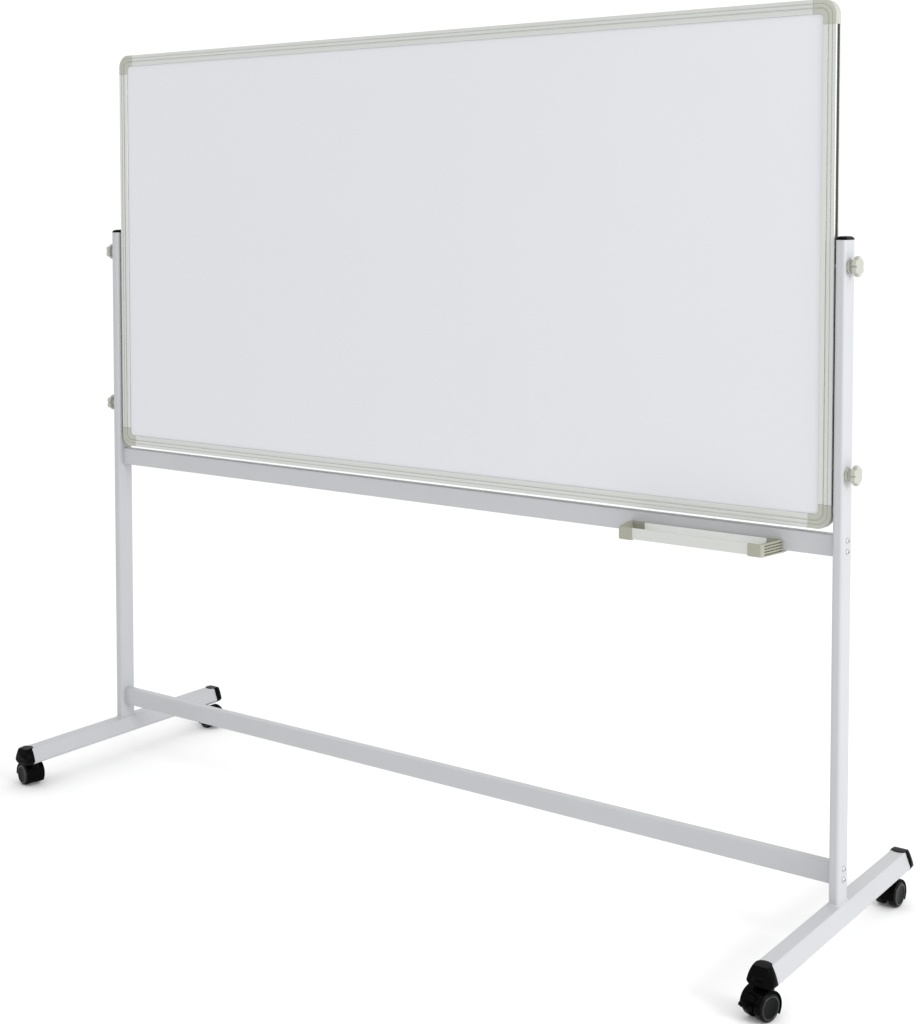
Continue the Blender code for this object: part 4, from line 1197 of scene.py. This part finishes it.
def caster_wheel(corner, letter, sign, matrix):
    """A nylon wheel with rounded shoulders, a raised ring on its face and a dished disc inside that."""
    shoulder = 0.0040
    inner_shoulder = 0.0020
    ring_height = 0.0010
    face = WHEEL_WIDTH - ring_height
    blind_end = WHEEL_WIDTH - AXLE_SHORT_OF_FACE + FIT_GAP
    dish = ((0.0, 0.0010), (0.0060, 0.0010), (0.0140, 0.0006), (0.0176, 0.0))
    profile = [(radius, face - depth) for radius, depth in dish]
    for step in range(7):
        angle = math.pi * step / 6
        radius = WHEEL_RING_RADIUS - WHEEL_RING_HALF * math.cos(angle)
        profile.append((radius, face + ring_height * math.sin(angle)))
    for angle in quarter_turn(5):
        radius = WHEEL_RADIUS - shoulder + shoulder * math.sin(angle)
        profile.append((radius, face - shoulder + shoulder * math.cos(angle)))
    for angle in quarter_turn(5):
        radius = WHEEL_RADIUS - inner_shoulder + inner_shoulder * math.cos(angle)
        profile.append((radius, inner_shoulder - inner_shoulder * math.sin(angle)))
    profile += [
        (AXLE_RADIUS + RUNNING_GAP, 0.0),
        (AXLE_RADIUS + RUNNING_GAP, blind_end),
        (0.0, blind_end),
    ]
    outward = Matrix.Rotation(sign * math.pi / 2, 4, "Y")
    place = matrix @ Matrix.Translation((sign * WHEEL_INNER_FACE, -TRAIL, WHEEL_RADIUS)) @ outward
    wheel = piece(turned(profile, 72, place), f"caster_wheel_{corner}_{letter}", WHEEL_PLASTIC)
    wheel.data.materials.append(WHEEL_RING)
    to_wheel = place.inverted()
    for polygon in wheel.data.polygons:
        spot = to_wheel @ polygon.center
        if abs(math.hypot(spot.x, spot.y) - WHEEL_RING_RADIUS) < WHEEL_RING_HALF and spot.z > face:
            polygon.material_index = 1


def brake_lever(corner, matrix):
    """A shoe over both treads, its hinge pin, and a tab for the toe."""
    shoe_end = 186.0
    shoe_inner = (0.0268, 0.0282)
    shoe_outer = (0.0292, 0.0310)
    shoe_outline = arc_band(BRAKE_HINGE_ANGLE, shoe_end, shoe_inner, shoe_outer)
    shoe = plate(shoe_outline, BRAKE_HALF_WIDTH, matrix)
    tab_root = [(-0.048, 0.0300, 0.0006), (-0.048, 0.0360, 0.0006)]
    tab_toe = [(-0.0665, 0.0405, 0.0024), (-0.0705, 0.0345, 0.0024)]
    tab_half_width = 0.006
    tab = plate(rounded(tab_root + tab_toe, 6), tab_half_width, matrix, soft=0.0006)
    knuckle = hinge_rod(BRAKE_KNUCKLE_RADIUS, BRAKE_HALF_WIDTH, matrix)
    pin = hinge_rod(BRAKE_PIN_RADIUS, BRAKE_PIN_REACH, matrix)
    piece(united(shoe, tab, knuckle, pin), f"brake_lever_{corner}", BLACK_PLASTIC)


def casters():
    for end_name in ENDS:
        for side in SIDES:
            corner = f"{end_name}_{side}"
            matrix = caster_matrix(corner)
            braked = end_name == "front"
            caster_stem(corner)
            caster_housing(corner, matrix, braked)
            caster_axle(corner, matrix)
            caster_wheel(corner, "a", 1, matrix)
            caster_wheel(corner, "b", -1, matrix)
            if braked:
                brake_lever(corner, matrix)


# ------------ assembly

for side_name in SIDES:
    leg(side_name)
    upright_cap(side_name)
    for end_name in ENDS:
        foot_cap(end_name, side_name)
    for level_name in LEVELS:
        corner_cover(level_name, side_name)
    for bolt_node in bolts_of(side_name):
        bolt(bolt_node)
for bar_name in ("crossbar_upper", "crossbar_lower"):
    crossbar(bar_name)
rails()
for side_name, outward_sign in SIDES.items():
    lock_knob(side_name, outward_sign)
    lock_stud(side_name, outward_sign)
    pivot_knob(side_name, outward_sign)
tray()
casters()

# The panel's own solids are right as they are, and only take a finish.
for kept_node, finish in (
    ("writing_sheet_front", ENAMEL),
    ("writing_sheet_back", ENAMEL),
    ("board_core", FIBREBOARD),
):
    kept = frame["nodes"][kept_node]
    kept.data.materials.clear()
    kept.data.materials.append(finish)


# ------------ studio

FLOOR_SIZE = 120.0
WORLD_LIGHT = 1.06


def studio_floor():
    shape = bmesh.new()
    bmesh.ops.create_grid(shape, x_segments=8, y_segments=8, size=FLOOR_SIZE / 2)
    floor = finished_shape(shape)
    floor.name = "studio_floor"
    floor.location = (0.0, 0.0, -0.0005)
    material = surface("pale_floor", (0.965, 0.965, 0.965), 0.9, 30.0, 0.00002, specular=0.0, mottle=0.004)
    floor.data.materials.append(material)


def area_light(name, location, target, size, power):
    data = bpy.data.lights.new(name, "AREA")
    data.shape = "SQUARE"
    data.size = size
    data.energy = power
    light = bpy.data.objects.new(name, data)
    light.location = location
    direction = Vector(target) - Vector(location)
    light.rotation_euler = direction.to_track_quat("-Z", "Y").to_euler()
    bpy.context.scene.collection.objects.link(light)


def studio_light():
    world = bpy.data.worlds.new("studio")
    bpy.context.scene.world = world
    world.use_nodes = True
    background = world.node_tree.nodes["Background"]
    background.inputs["Color"].default_value = (1.0, 1.0, 1.0, 1.0)
    background.inputs["Strength"].default_value = WORLD_LIGHT
    area_light("key_from_the_right", (4.6, -0.6, 2.0), (0.6, 0.0, 0.8), 1.5, 86.0)


def camera():
    data = bpy.data.cameras.new("camera")
    data.sensor_fit = "HORIZONTAL"
    data.sensor_width = 36.0
    data.lens = 63.967
    data.shift_y = -0.2366
    data.clip_end = 300.0
    viewer = bpy.data.objects.new("camera", data)
    viewer.location = (2.104, -2.760, 1.3455)
    viewer.rotation_euler = (math.radians(90 - 2.839), 0.0, math.radians(36.037))
    bpy.context.scene.collection.objects.link(viewer)
    bpy.context.scene.camera = viewer


studio_floor()
studio_light()
camera()
bpy.context.scene.view_settings.view_transform = "Standard"
